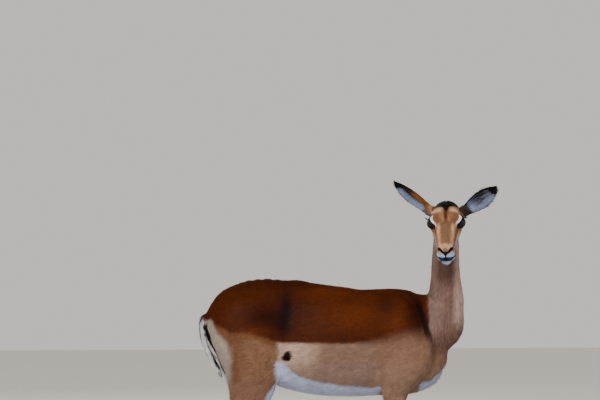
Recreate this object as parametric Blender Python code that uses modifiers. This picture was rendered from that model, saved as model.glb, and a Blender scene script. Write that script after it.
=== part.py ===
"""A standing impala ewe, life size, its head turned to its right: still solids of the whole animal."""
import math

import bmesh
import bpy
import numpy as np
from mathutils import Matrix, Vector

# ---- sizes of the living animal, metres: +X ahead, +Y its left, +Z up -------------------------------
#          along,  back,  belly, half width, level of the greatest width
TRUNK = [(-0.434, 0.768, 0.688, 0.022, 0.726),
         (-0.414, 0.802, 0.636, 0.050, 0.712),
         (-0.380, 0.838, 0.592, 0.074, 0.704),
         (-0.325, 0.868, 0.560, 0.092, 0.702),
         (-0.258, 0.885, 0.540, 0.098, 0.696),
         (-0.190, 0.886, 0.518, 0.100, 0.672),
         (-0.122, 0.872, 0.494, 0.111, 0.653),
         (-0.054, 0.862, 0.480, 0.124, 0.643),
         (0.014, 0.854, 0.475, 0.128, 0.640),
         (0.082, 0.845, 0.475, 0.124, 0.640),
         (0.150, 0.846, 0.478, 0.112, 0.645),
         (0.218, 0.847, 0.479, 0.094, 0.650),
         (0.275, 0.838, 0.492, 0.078, 0.655),
         (0.318, 0.828, 0.530, 0.058, 0.664),
         (0.350, 0.800, 0.560, 0.036, 0.668)]
#         along, across, up, half width, front depth, back depth, turn of the front toward the right
NECK = [(0.180, 0.000, 0.690, 0.070, 0.110, 0.105, 0),
        (0.270, -0.002, 0.705, 0.070, 0.105, 0.105, 0),
        (0.338, -0.008, 0.742, 0.062, 0.092, 0.082, 0),
        (0.371, -0.016, 0.792, 0.058, 0.070, 0.066, 15),
        (0.374, -0.026, 0.840, 0.057, 0.061, 0.062, 35),
        (0.372, -0.033, 0.890, 0.053, 0.054, 0.055, 60),
        (0.3715, -0.036, 0.940, 0.0495, 0.050, 0.052, 80),
        (0.373, -0.036, 0.990, 0.047, 0.052, 0.050, 90),
        (0.372, -0.042, 1.035, 0.044, 0.050, 0.044, 95)]
#         along, from the middle, up, half width, front depth, back depth
UPPER_ARM = [(0.195, 0.052, 0.800, 0.018, 0.042, 0.046),
             (0.225, 0.070, 0.735, 0.024, 0.062, 0.064),
             (0.268, 0.076, 0.650, 0.031, 0.060, 0.064),
             (0.245, 0.079, 0.585, 0.035, 0.062, 0.062),
             (0.205, 0.079, 0.535, 0.034, 0.054, 0.056)]
FORELEG = [(0.205, 0.079, 0.545, 0.034, 0.050, 0.056),
           (0.198, 0.078, 0.490, 0.030, 0.044, 0.047),
           (0.198, 0.075, 0.430, 0.0235, 0.031, 0.031),
           (0.201, 0.072, 0.365, 0.0180, 0.0220, 0.0220),
           (0.205, 0.069, 0.315, 0.0165, 0.0185, 0.0185),
           (0.208, 0.068, 0.285, 0.0195, 0.0210, 0.0225),
           (0.207, 0.067, 0.255, 0.0165, 0.0175, 0.0195),
           (0.204, 0.066, 0.205, 0.0118, 0.0128, 0.0145),
           (0.202, 0.066, 0.130, 0.0120, 0.0130, 0.0150),
           (0.202, 0.066, 0.097, 0.0165, 0.0175, 0.0205),
           (0.212, 0.066, 0.062, 0.0150, 0.0145, 0.0155),
           (0.222, 0.066, 0.038, 0.0190, 0.0170, 0.0180)]
THIGH = [(-0.305, 0.046, 0.775, 0.052, 0.085, 0.080),
         (-0.300, 0.062, 0.700, 0.049, 0.112, 0.118),
         (-0.296, 0.068, 0.640, 0.047, 0.110, 0.118),
         (-0.290, 0.074, 0.570, 0.041, 0.096, 0.100),
         (-0.293, 0.078, 0.515, 0.036, 0.084, 0.080),
         (-0.305, 0.081, 0.466, 0.030, 0.056, 0.060)]
HINDLEG = [(-0.298, 0.079, 0.490, 0.033, 0.068, 0.070),
           (-0.312, 0.081, 0.455, 0.028, 0.052, 0.054),
           (-0.335, 0.082, 0.412, 0.0225, 0.036, 0.037),
           (-0.362, 0.082, 0.372, 0.0190, 0.0245, 0.026),
           (-0.384, 0.080, 0.336, 0.0195, 0.0260, 0.030),
           (-0.390, 0.079, 0.300, 0.0170, 0.0200, 0.022),
           (-0.386, 0.078, 0.255, 0.0135, 0.0150, 0.017),
           (-0.380, 0.077, 0.190, 0.0120, 0.0135, 0.0155),
           (-0.375, 0.076, 0.130, 0.0122, 0.0140, 0.0160),
           (-0.372, 0.075, 0.097, 0.0165, 0.0175, 0.0205),
           (-0.361, 0.075, 0.062, 0.0150, 0.0145, 0.0155),
           (-0.350, 0.075, 0.038, 0.0190, 0.0170, 0.0180)]
HEEL = [(-0.372, 0.080, 0.400, 0.010, 0.011, 0.011),
        (-0.398, 0.080, 0.372, 0.011, 0.012, 0.012),
        (-0.408, 0.080, 0.352, 0.013, 0.013, 0.013),
        (-0.403, 0.080, 0.320, 0.012, 0.013, 0.012)]
LEFT_FORE_STEP, LEFT_HIND_STEP = 0.045, 0.075        # the left feet stand this far ahead of the right
TAIL = [(-0.410, 0, 0.766, 0.020, 0.014, 0.014),
        (-0.447, 0, 0.748, 0.021, 0.014, 0.014),
        (-0.455, 0, 0.702, 0.023, 0.012, 0.013),
        (-0.445, 0, 0.655, 0.024, 0.012, 0.013),
        (-0.424, 0, 0.612, 0.022, 0.011, 0.012),
        (-0.402, 0, 0.574, 0.017, 0.010, 0.010),
        (-0.385, 0, 0.545, 0.007, 0.005, 0.005)]
TAIL_CLEARANCE = 0.004

# the head's own axes: across to its left, along the face to the nose, up out of the brow
HEAD_AT = np.array([0.3663, -0.105, 1.070])          # between the eyes
HEAD_PITCH, HEAD_YAW, HEAD_ROLL = (math.radians(a) for a in (31, -8.5, 2))
#        along, up, half width, upper depth, lower depth
SKULL = [(-0.092, -0.014, 0.028, 0.020, 0.030),
         (-0.078, -0.004, 0.041, 0.035, 0.045),
         (-0.050, 0.000, 0.047, 0.044, 0.058),
         (-0.015, -0.004, 0.046, 0.045, 0.062),
         (0.020, -0.010, 0.041, 0.044, 0.054),
         (0.055, -0.014, 0.036, 0.040, 0.048),
         (0.090, -0.018, 0.0315, 0.035, 0.044),
         (0.120, -0.022, 0.0285, 0.031, 0.040),
         (0.136, -0.026, 0.0265, 0.028, 0.037)]
JAW = [(-0.055, -0.052, 0.030, 0.020, 0.020),
       (0.000, -0.060, 0.027, 0.018, 0.017),
       (0.060, -0.064, 0.022, 0.014, 0.014),
       (0.105, -0.066, 0.019, 0.012, 0.013),
       (0.128, -0.068, 0.018, 0.010, 0.013)]
EYE_ACROSS, EYE_ALONG, EYE_UP, EYE_RADIUS = 0.0485, 0.002, 0.003, 0.0165
# each ear: base, tip and the way its hollow faces; the right one is turned half away
EARS = {-1: ((0.3130, -0.062, 1.106), (0.1925, -0.060, 1.2065), (-0.555, -0.40, -0.73)),
        1: ((0.4345, -0.056, 1.108), (0.5430, -0.062, 1.1870), (0.16, -0.96, -0.20))}
#      share of the length, half width, back depth, front lip, bulge of the rim
EAR = [(-0.10, 0.018, 0.020, 0.014, -0.004),
       (0.06, 0.020, 0.024, 0.012, 0.000),
       (0.22, 0.025, 0.027, 0.008, 0.004),
       (0.42, 0.0305, 0.029, 0.003, 0.007),
       (0.60, 0.0295, 0.027, 0.002, 0.007),
       (0.78, 0.0225, 0.019, 0.002, 0.004),
       (0.90, 0.0150, 0.011, 0.002, 0.001),
       (0.98, 0.0062, 0.005, 0.002, -0.002)]
EAR_WALL = 0.0045


# ---- distance fields of the forms -------------------------------------------------------------------
FAR = 1.0
FORWARD, LEFT, UP = np.eye(3)


def curve_through(rows, steps):
    """Smooth rows of numbers through the given rows, with so many steps between two of them."""
    rows = np.array(rows, float)
    ends = np.vstack([2 * rows[0] - rows[1], rows, 2 * rows[-1] - rows[-2]])
    made = []
    for i in range(len(rows) - 1):
        a, b, c, d = ends[i:i + 4]
        for t in np.arange(steps) / steps:
            made.append(0.5 * (2 * b + (c - a) * t + (2 * a - 5 * b + 4 * c - d) * t * t
                               + (3 * b - a - 3 * c + d) * t ** 3))
    made.append(rows[-1])
    return np.array(made)


class Grid:
    """Distances at the points of a box of even cells."""
    def __init__(self, low, high, step):
        self.low, self.step = np.array(low, float), step
        self.axes = [np.arange(l, h + step, step) for l, h in zip(low, high)]
        self.d = np.full([len(a) for a in self.axes], FAR, np.float32)

    def near(self, low, high):
        return tuple(slice(int(np.searchsorted(a, l)), int(np.searchsorted(a, h)))
                     for a, l, h in zip(self.axes, low, high))

    def close(self):
        """Leave nothing of the form on the box's own sides, so its surface is closed there."""
        for axis in range(3):
            for end in (0, -1):
                side = [slice(None)] * 3
                side[axis] = end
                self.d[tuple(side)] = np.maximum(self.d[tuple(side)], self.step)

    def positions(self, where):
        return np.stack(np.meshgrid(*(a[w] for a, w in zip(self.axes, where)), indexing="ij"), -1)


class Sweep:
    """A tube with elliptical sections: rows of centre, half width, front and back depth."""
    def __init__(self, rows, front, grow=0.0, steps=4):
        rows = np.array(rows, float)
        front = np.broadcast_to(np.array(front, float), (len(rows), 3))
        made = curve_through(np.hstack([rows, front]), steps)
        self.c = made[:, :3]
        self.r = np.maximum(made[:, 3:6], 0.002) + grow
        along = np.gradient(self.c, axis=0)
        along /= np.linalg.norm(along, axis=1)[:, None]
        front = made[:, 6:9] - (made[:, 6:9] * along).sum(1)[:, None] * along
        front /= np.linalg.norm(front, axis=1)[:, None]
        self.frames = np.stack([np.cross(front, along), front, along], 1)

    def box(self, margin):
        reach = self.r.max(1)[:, None] + margin
        return (self.c - reach).min(0), (self.c + reach).max(0)

    def distance(self, samples, margin):
        e = np.full(samples.d.shape, FAR, samples.d.dtype)
        for i in range(len(self.c) - 1):
            first, last = self.c[i], self.c[i + 1]
            reach = max(self.r[i].max(), self.r[i + 1].max()) + margin
            where = samples.near(np.minimum(first, last) - reach, np.maximum(first, last) + reach)
            p = samples.positions(where)
            if p.size == 0:
                continue
            axis = last - first
            t = np.clip((p - first) @ axis / (axis @ axis), 0, 1)[..., None]
            q = p - (first + t * axis)
            u, v, w = ((q * (self.frames[i][k] * (1 - t) + self.frames[i + 1][k] * t)).sum(-1)
                       for k in range(3))
            t = t[..., 0]
            a, front, back = (self.r[i][k] * (1 - t) + self.r[i + 1][k] * t for k in range(3))
            b = np.where(v > 0, front, back)
            c = np.minimum(a, b)
            k0 = np.sqrt((u / a) ** 2 + (v / b) ** 2 + (w / c) ** 2)
            k1 = np.sqrt((u / a ** 2) ** 2 + (v / b ** 2) ** 2 + (w / c ** 2) ** 2) + 1e-9
            e[where] = np.minimum(e[where], k0 * (k0 - 1) / k1)
        return e


class Ball:
    """An ellipsoid: centre, radii along its own axes, and those axes as rows."""
    def __init__(self, centre, radii, axes=np.eye(3)):
        self.c, self.r, self.axes = np.array(centre, float), np.array(radii, float), axes

    def box(self, margin):
        reach = self.r.max() + margin
        return self.c - reach, self.c + reach

    def distance(self, samples, margin):
        e = np.full(samples.d.shape, FAR, samples.d.dtype)
        where = samples.near(*self.box(margin))
        q = (samples.positions(where) - self.c) @ self.axes.T / self.r
        k0 = np.sqrt((q ** 2).sum(-1))
        k1 = np.sqrt(((q / self.r) ** 2).sum(-1)) + 1e-9
        e[where] = k0 * (k0 - 1) / k1
        return e


def merge(samples, form, blend, sign):
    """Join the form to what is there (sign 1) or cut it away (sign -1), with a soft edge."""
    margin = blend + 0.03
    e = form.distance(samples, margin)
    where = samples.near(*form.box(margin))
    d, e = samples.d[where] * sign, e[where]
    soft = np.maximum(blend - np.abs(d - e), 0) / blend
    samples.d[where] = sign * (np.minimum(d, e) - soft * soft * blend / 4)


def join(samples, form, blend):
    merge(samples, form, blend, 1)


def cut(samples, form, blend):
    merge(samples, form, blend, -1)


# ---- the animal's forms -----------------------------------------------------------------------------
def head_axes():
    """Rows: across to the head's left, along the face, up out of the brow."""
    ahead = np.array([math.sin(HEAD_YAW), -math.cos(HEAD_YAW), 0])
    across = np.cross(UP, ahead) * math.cos(HEAD_ROLL) + UP * math.sin(HEAD_ROLL)
    over = np.cross(ahead, across)
    nose = ahead * math.cos(HEAD_PITCH) - over * math.sin(HEAD_PITCH)
    brow = over * math.cos(HEAD_PITCH) + ahead * math.sin(HEAD_PITCH)
    return np.array([across, nose, brow])


HEAD_AXES = head_axes()


def on_head(across, along, up):
    return HEAD_AT + np.array([across, along, up], float) @ HEAD_AXES


def head_sweep(rows):
    return Sweep([(*on_head(0, along, up), w, top, low) for along, up, w, top, low in rows], HEAD_AXES[2])


def head_ball(across, along, up, radii, roll=0.0):
    c, s = math.cos(math.radians(roll)), math.sin(math.radians(roll))
    lean = np.array([[c, 0, -s], [0, 1, 0], [s, 0, c]])
    return Ball(on_head(across, along, up), radii, lean @ HEAD_AXES)


def eye_centre(side):
    return on_head(side * EYE_ACROSS, EYE_ALONG, EYE_UP)


def leg_sweep(rows, side, step=0.0):
    """A leg's tube on one side (left is 1), its foot carried ahead by the step."""
    made = []
    for x, y, z, a, front, back in rows:
        share = max(0.0, min(1.0, (0.58 - z) / 0.5))
        made.append((x + step * share, side * y, z, a, front, back))
    return Sweep(made, FORWARD)


def torso(samples):
    """Trunk, neck and the four legs."""
    join(samples, Sweep([(x, 0, mid, w, top - mid, mid - low) for x, top, low, w, mid in TRUNK], UP), 0.02)
    turns = [math.radians(row[6]) for row in NECK]
    front = [(math.cos(t), -math.sin(t), -0.6 if t == 0 else 0) for t in turns]
    join(samples, Sweep([row[:6] for row in NECK], front), 0.035)
    join(samples, Ball((0.3720, -0.010, 0.718), (0.066, 0.052, 0.076)), 0.03)     # swell of the lower neck
    for side in (-1, 1):
        fore_step = LEFT_FORE_STEP if side == 1 else 0.0
        hind_step = LEFT_HIND_STEP if side == 1 else 0.0
        join(samples, leg_sweep(UPPER_ARM, side, fore_step), 0.03)
        join(samples, leg_sweep(FORELEG, side, fore_step), 0.02)
        join(samples, leg_sweep(THIGH, side, hind_step), 0.04)
        join(samples, leg_sweep(HINDLEG, side, hind_step), 0.02)
        join(samples, leg_sweep(HEEL, side, hind_step), 0.012)
        # hollow of the flank before the haunch, and the one between shoulder and neck
        cut(samples, Ball((-0.170, side * 0.150, 0.780), (0.030, 0.045, 0.085)), 0.03)
        cut(samples, Ball((0.300, side * 0.125, 0.745), (0.026, 0.060, 0.060)), 0.03)


def tail_form(grow=0.0, first=0):
    return Sweep(TAIL[first:], FORWARD, grow)


def head(samples):
    """Skull, jaw, cheeks, brows, nostrils and lips."""
    join(samples, head_sweep(SKULL), 0.03)
    for side in (-1, 1):
        join(samples, head_ball(side * 0.028, -0.040, -0.042, (0.019, 0.040, 0.034)), 0.02)      # cheek
        join(samples, head_ball(side * 0.043, -0.004, 0.017, (0.0175, 0.024, 0.010), side * 22), 0.018)      # brow
        join(samples, head_ball(side * 0.045, 0.000, -0.012, (0.012, 0.030, 0.009)), 0.012)      # under the eye
        cut(samples, head_ball(side * 0.067, 0.003, 0.003, (0.012, 0.016, 0.012)), 0.008)        # orbit
        join(samples, head_ball(side * 0.0150, 0.144, -0.009, (0.0130, 0.012, 0.014)), 0.012)    # nostril wing
        join(samples, head_ball(side * 0.0145, 0.138, -0.040, (0.0185, 0.018, 0.018)), 0.012)    # upper lip
    join(samples, head_sweep(JAW), 0.012)
    for side in (-1, 1):
        cut(samples, head_ball(side * 0.0165, 0.160, -0.008, (0.0045, 0.009, 0.0045)), 0.004)    # nostril


def ear(samples, side):
    """A leaf of elliptical sections with its hollow taken out toward the opening."""
    base, tip, facing = (np.array(v) for v in EARS[side])
    way = tip - base
    front = facing - way * (facing @ way) / (way @ way)
    front /= np.linalg.norm(front)
    outer, inner = [], []
    for share, width, back, lip, bulge in EAR:
        at = base + way * share + front * bulge
        outer.append((*at, width, lip, back))
        if share > 0.15:
            inner.append((*(at + front * 0.0005), width - EAR_WALL, 0.05, max(back - EAR_WALL, 0.002)))
    join(samples, Sweep(outer, front), 0.012)
    cut(samples, Sweep(inner, front), 0.003)


def surface_net(samples):
    """Vertices and quads, facing outward, where the distances pass through zero."""
    d = samples.d
    inside = d < 0
    cells = [n - 1 for n in d.shape]
    total, count = np.zeros((*cells, 3), np.float32), np.zeros(cells, np.int32)
    crossings = []
    for axis in range(3):
        first = tuple(slice(None, -1) if a == axis else slice(None) for a in range(3))
        last = tuple(slice(1, None) if a == axis else slice(None) for a in range(3))
        at = np.argwhere(inside[first] != inside[last])
        v0, v1 = d[first][tuple(at.T)], d[last][tuple(at.T)]
        point = at.astype(np.float32)
        point[:, axis] += v0 / (v0 - v1)
        b, c = (axis + 1) % 3, (axis + 2) % 3
        corners = []
        for db, dc in ((0, 0), (-1, 0), (-1, -1), (0, -1)):
            cell = at.copy()
            cell[:, b] += db
            cell[:, c] += dc
            corners.append(cell)
        whole = np.all([((cell >= 0) & (cell < cells)).all(1) for cell in corners], 0)
        for cell in corners:
            np.add.at(total, tuple(cell[whole].T), point[whole])
            np.add.at(count, tuple(cell[whole].T), 1)
        crossings.append(([cell[whole] for cell in corners], v0[whole] < 0))
    number = np.full(cells, -1)
    used = count > 0
    number[used] = np.arange(used.sum())
    vertices = total[used] / count[used][:, None] * samples.step + samples.low
    quads = []
    for corners, outward in crossings:
        ring = np.stack([number[tuple(cell.T)] for cell in corners], 1)
        quads.append(np.where(outward[:, None], ring, ring[:, ::-1]))
    return vertices, np.vstack(quads)


# ---- the nodes --------------------------------------------------------------------------------------
GAP = 0.0003                                      # left between touching nodes
SOLE = 0.030                                      # height of the claws, where the hair begins
CLAW_LENGTH, CLAW_WIDTH, CLAW_SPREAD = 0.056, 0.021, 0.0118
#              name       colour                 roughness
COLOURS = {"saddle": ((0.19, 0.085, 0.045), 0.75),
           "fawn": ((0.42, 0.27, 0.17), 0.75),
           "face": ((0.46, 0.27, 0.15), 0.70),
           "leg": ((0.43, 0.27, 0.17), 0.75),
           "ear": ((0.40, 0.27, 0.18), 0.75),
           "tail": ((0.72, 0.68, 0.62), 0.80),
           "horn": ((0.025, 0.022, 0.020), 0.45),
           "eye": ((0.012, 0.009, 0.008), 0.12)}


def clear_scene():
    for thing in list(bpy.data.objects):
        bpy.data.objects.remove(thing)
    animal = bpy.data.collections.new("impala_ewe")
    bpy.context.scene.collection.children.link(animal)
    cutters = bpy.data.collections.new("cutters")
    bpy.context.scene.collection.children.link(cutters)
    return animal, cutters


def material_for(kind):
    found = bpy.data.materials.get(kind)
    if found:
        return found
    made = bpy.data.materials.new(kind)
    made.use_nodes = True
    shader = made.node_tree.nodes["Principled BSDF"]
    colour, roughness = COLOURS[kind]
    shader.inputs["Base Color"].default_value = (*colour, 1)
    shader.inputs["Roughness"].default_value = roughness
    shader.inputs["Metallic"].default_value = 0.0
    made.diffuse_color = (*colour, 1)
    return made


def new_object(name, mesh, collection, kind=None):
    made = bpy.data.objects.new(name, mesh)
    collection.objects.link(made)
    if kind:
        mesh.materials.clear()
        mesh.materials.append(material_for(kind))
    return made


def settled(thing):
    """Bake the modifiers of an object into its mesh."""
    bpy.context.view_layer.update()
    mesh = bpy.data.meshes.new_from_object(thing.evaluated_get(bpy.context.evaluated_depsgraph_get()))
    thing.modifiers.clear()
    thing.data = mesh


def take_away(thing, cutter):
    """Boolean a cutter out of a node."""
    boolean = thing.modifiers.new("pocket", "BOOLEAN")
    boolean.operation, boolean.solver, boolean.object = "DIFFERENCE", "EXACT", cutter
    settled(thing)


def as_cutter(thing, cutters):
    for holder in list(thing.users_collection):
        holder.objects.unlink(thing)
    cutters.objects.link(thing)
    thing.hide_render = True
    thing.display_type = "WIRE"
    return thing


def part_by(thing, point, normal, cutters):
    """Keep what lies on the normal's side of a plane."""
    normal = Vector(normal).normalized()
    bm = bmesh.new()
    bmesh.ops.create_cube(bm, size=1.0)
    mesh = bpy.data.meshes.new("parting")
    bm.to_mesh(mesh)
    bm.free()
    turn = normal.to_track_quat("Z", "Y").to_matrix().to_4x4()
    mesh.transform(Matrix.Translation(Vector(point) + normal * GAP / 2) @ turn
                   @ Matrix.Translation((0, 0, -0.5)))
    take_away(thing, as_cutter(new_object("parting", mesh, cutters), cutters))


def form_node(name, kind, box, step, triangles, forms, planes, animal, cutters):
    """A node: the given forms inside a box, thinned to a number of triangles and parted by planes."""
    samples = Grid(*box, step)
    for form in forms:
        form(samples)
    samples.close()
    vertices, quads = surface_net(samples)
    mesh = bpy.data.meshes.new(name)
    mesh.from_pydata(vertices.tolist(), [], quads.tolist())
    made = new_object(name, mesh, animal, kind)
    even = made.modifiers.new("skin", "REMESH")
    even.mode, even.voxel_size = "VOXEL", step
    smooth = made.modifiers.new("even", "SMOOTH")
    smooth.factor, smooth.iterations = 0.4, 2
    thin = made.modifiers.new("thin", "DECIMATE")
    thin.ratio = min(1.0, triangles / (2 * len(quads)))
    settled(made)
    for point, normal in planes:
        part_by(made, point, normal, cutters)
    return made


def ball_object(name, centre, radius, collection, kind=None, segments=20, rings=12):
    mesh = bpy.data.meshes.new(name)
    bm = bmesh.new()
    bmesh.ops.create_uvsphere(bm, u_segments=segments, v_segments=rings, radius=radius)
    bm.to_mesh(mesh)
    bm.free()
    mesh.transform(Matrix.Translation(Vector(centre)))
    return new_object(name, mesh, collection, kind)


def claw(name, x, y, outer, collection):
    """One half of a cloven foot: flat sole, sloping toe, upright heel, straight inner wall."""
    rings = []
    turns = [2 * math.pi * i / 12 for i in range(12)]
    for height, wide, toe in ((0.0, 0.94, 1.0), (0.004, 1.0, 0.985), (0.017, 0.97, 0.78), (SOLE, 0.88, 0.55)):
        heel = x - 0.018 + height * 0.12
        length = (CLAW_LENGTH) * toe - height * 0.12
        ring = []
        for turn in turns:
            along = 0.5 + 0.5 * math.cos(turn)
            taper = (1 - 0.45 * along ** 2) * wide * CLAW_WIDTH / 2
            side = math.sin(turn)
            bow = side if side * outer > 0 else side * 0.82
            inward = outer * 0.35 * taper * along ** 2
            ring.append((heel + length * along, y + bow * taper - inward, height))
        rings.append(ring)
    bm = bmesh.new()
    made = [[bm.verts.new(point) for point in ring] for ring in rings]
    for low, high in zip(made, made[1:]):
        for i in range(len(low)):
            j = (i + 1) % len(low)
            bm.faces.new((low[i], low[j], high[j], high[i]))
    bm.faces.new(reversed(made[0]))
    bm.faces.new(made[-1])
    bmesh.ops.recalc_face_normals(bm, faces=bm.faces)
    mesh = bpy.data.meshes.new(name)
    bm.to_mesh(mesh)
    bm.free()
    return new_object(name, mesh, collection, "horn")


def foot_at(rows, step):
    return rows[-1][0] + step, rows[-1][1]


def build():
    animal, cutters = clear_scene()

    # planes that part the nodes: a point, and the way up or outward from it
    throat = ((0.37, -0.100, 0.985), (0, -0.5, 0.866))
    neck_root = ((0.31, 0, 0.835), (0.645, 0, 0.764))
    elbow = ((0, 0, 0.470), UP)
    stifle = ((-0.21, 0, 0.512), (0.2575, 0, 0.9663))

    def away(plane):
        return plane[0], tuple(-c for c in plane[1])

    def rump(samples):
        cut(samples, tail_form(TAIL_CLEARANCE, first=2), 0.006)

    form_node("trunk", "saddle", ((-0.50, -0.17, 0.44), (0.48, 0.17, 0.92)), 0.007, 1900,
              (torso, rump), (away(neck_root), elbow, stifle), animal, cutters)
    form_node("neck", "fawn", ((0.27, -0.15, 0.66), (0.52, 0.09, 1.12)), 0.004, 800,
              (torso, head), (neck_root, away(throat)), animal, cutters)

    # the head, its ears and its eyes in their pockets
    ear_roots = {}
    for side in (-1, 1):
        base, tip, _ = (np.array(v) for v in EARS[side])
        ear_roots[side] = (base + (tip - base) * 0.10, tip - base)
    head_node = form_node("head", "face", ((0.27, -0.29, 0.90), (0.48, 0.06, 1.17)), 0.003, 2000,
                          (torso, head, lambda s: ear(s, -1), lambda s: ear(s, 1)),
                          (throat, away(ear_roots[-1]), away(ear_roots[1])), animal, cutters)
    for side, word in ((-1, "right"), (1, "left")):
        take_away(head_node, as_cutter(ball_object("socket_" + word, eye_centre(side), EYE_RADIUS + GAP,
                                                   cutters), cutters))
        ball_object("eye_" + word, eye_centre(side), EYE_RADIUS, animal, "eye", 14, 8)
        base, tip = np.array(EARS[side][0]), np.array(EARS[side][1])
        reach = np.array([0.05, 0.06, 0.06])
        form_node("ear_" + word, "ear", (np.minimum(base, tip) - reach, np.maximum(base, tip) + reach), 0.0016,
                  430, (lambda s: ear(s, side),), (ear_roots[side],), animal, cutters)

    # the tail, fitted into its root
    tail_node = form_node("tail", "tail", ((-0.49, -0.05, 0.52), (-0.38, 0.05, 0.79)), 0.004, 260,
                          (lambda s: join(s, tail_form(), 0.004),), (), animal, cutters)
    pocket = new_object("tail_pocket", tail_node.data.copy(), cutters)
    swell = pocket.modifiers.new("swell", "DISPLACE")
    swell.strength, swell.mid_level = GAP * 1.3, 0.0
    settled(pocket)
    take_away(animal.objects["trunk"], as_cutter(pocket, cutters))

    # legs: each in three lengths, with two claws under it
    for side, word in ((-1, "right"), (1, "left")):
        near, far = sorted((side * 0.02, side * 0.14))
        for where, rows, step, top, joints in (
                ("fore", FORELEG, LEFT_FORE_STEP, elbow, (0.285, 0.097)),
                ("hind", HINDLEG, LEFT_HIND_STEP, stifle, (0.345, 0.097))):
            step = step if side == 1 else 0.0
            front = max(row[0] for row in rows) + 0.12
            behind = min(row[0] for row in rows) - 0.09
            levels = [top] + [((0, 0, z), UP) for z in joints] + [((0, 0, SOLE + GAP / 2), UP)]
            for piece, high, low, triangles in zip(("upper", "shank", "pastern"), levels, levels[1:], (320, 260, 150)):
                highest = min(0.60, high[0][2] + 0.06)
                form_node(f"{where}leg_{word}_{piece}", "leg",
                          ((behind, near, low[0][2] - 0.03), (front, far, highest)), 0.0035, triangles,
                          (torso,), (away(high), low), animal, cutters)
            x, y = foot_at(rows, step)
            for outer, which in ((side, "outer"), (-side, "inner")):
                claw(f"claw_{where}_{word}_{which}", x, side * y + outer * CLAW_SPREAD, outer, animal)

    # stand the whole animal on the middle of its own footprint
    corners = np.array([v.co[:] for thing in animal.objects for v in thing.data.vertices])
    low, high = corners.min(0), corners.max(0)
    home = Matrix.Translation((-(low[0] + high[0]) / 2, -(low[1] + high[1]) / 2, 0))
    for thing in list(animal.objects) + list(cutters.objects):
        thing.data.transform(home)
        for polygon in thing.data.polygons:
            polygon.use_smooth = False


build()
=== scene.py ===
"""A standing impala ewe, life size, as a museum would mount it: skin, short coat, eyes and claws."""
import math

import bmesh
import bpy
import numpy as np
from mathutils import Matrix, Vector


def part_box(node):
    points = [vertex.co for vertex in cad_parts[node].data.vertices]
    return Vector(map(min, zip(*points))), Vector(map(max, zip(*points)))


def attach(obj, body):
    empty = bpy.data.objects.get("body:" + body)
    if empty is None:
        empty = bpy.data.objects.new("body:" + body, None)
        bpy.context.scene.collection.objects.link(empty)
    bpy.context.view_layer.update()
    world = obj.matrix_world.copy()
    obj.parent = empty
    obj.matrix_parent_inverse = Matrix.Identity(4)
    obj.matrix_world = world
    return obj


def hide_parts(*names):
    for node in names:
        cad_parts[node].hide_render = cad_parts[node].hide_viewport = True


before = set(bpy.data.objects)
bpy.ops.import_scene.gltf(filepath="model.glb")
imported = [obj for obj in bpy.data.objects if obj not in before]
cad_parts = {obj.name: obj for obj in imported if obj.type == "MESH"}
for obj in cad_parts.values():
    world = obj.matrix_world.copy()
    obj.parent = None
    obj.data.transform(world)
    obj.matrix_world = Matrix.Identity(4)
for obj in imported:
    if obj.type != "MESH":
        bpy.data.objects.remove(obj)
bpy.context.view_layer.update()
random = np.random.default_rng(7)

# ---- sizes of the living animal, metres: +X ahead, +Y its left, +Z up -------------------------------
#          along,  back,  belly, half width, level of the greatest width
TRUNK = [(-0.434, 0.768, 0.688, 0.022, 0.726),
         (-0.414, 0.802, 0.636, 0.050, 0.712),
         (-0.380, 0.838, 0.592, 0.074, 0.704),
         (-0.325, 0.868, 0.560, 0.092, 0.702),
         (-0.258, 0.885, 0.540, 0.098, 0.696),
         (-0.190, 0.886, 0.518, 0.100, 0.672),
         (-0.122, 0.872, 0.494, 0.111, 0.653),
         (-0.054, 0.862, 0.480, 0.124, 0.643),
         (0.014, 0.854, 0.475, 0.128, 0.640),
         (0.082, 0.845, 0.475, 0.124, 0.640),
         (0.150, 0.846, 0.478, 0.112, 0.645),
         (0.218, 0.847, 0.479, 0.094, 0.650),
         (0.275, 0.838, 0.492, 0.078, 0.655),
         (0.318, 0.828, 0.530, 0.058, 0.664),
         (0.350, 0.800, 0.560, 0.036, 0.668)]
#         along, across, up, half width, front depth, back depth, turn of the front toward the right
NECK = [(0.180, 0.000, 0.690, 0.070, 0.110, 0.105, 0),
        (0.270, -0.002, 0.705, 0.070, 0.105, 0.105, 0),
        (0.338, -0.008, 0.742, 0.062, 0.092, 0.082, 0),
        (0.371, -0.016, 0.792, 0.058, 0.070, 0.066, 15),
        (0.374, -0.026, 0.840, 0.057, 0.061, 0.062, 35),
        (0.372, -0.033, 0.890, 0.053, 0.054, 0.055, 60),
        (0.3715, -0.036, 0.940, 0.0495, 0.050, 0.052, 80),
        (0.373, -0.036, 0.990, 0.047, 0.052, 0.050, 90),
        (0.372, -0.042, 1.035, 0.044, 0.050, 0.044, 95)]
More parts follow.
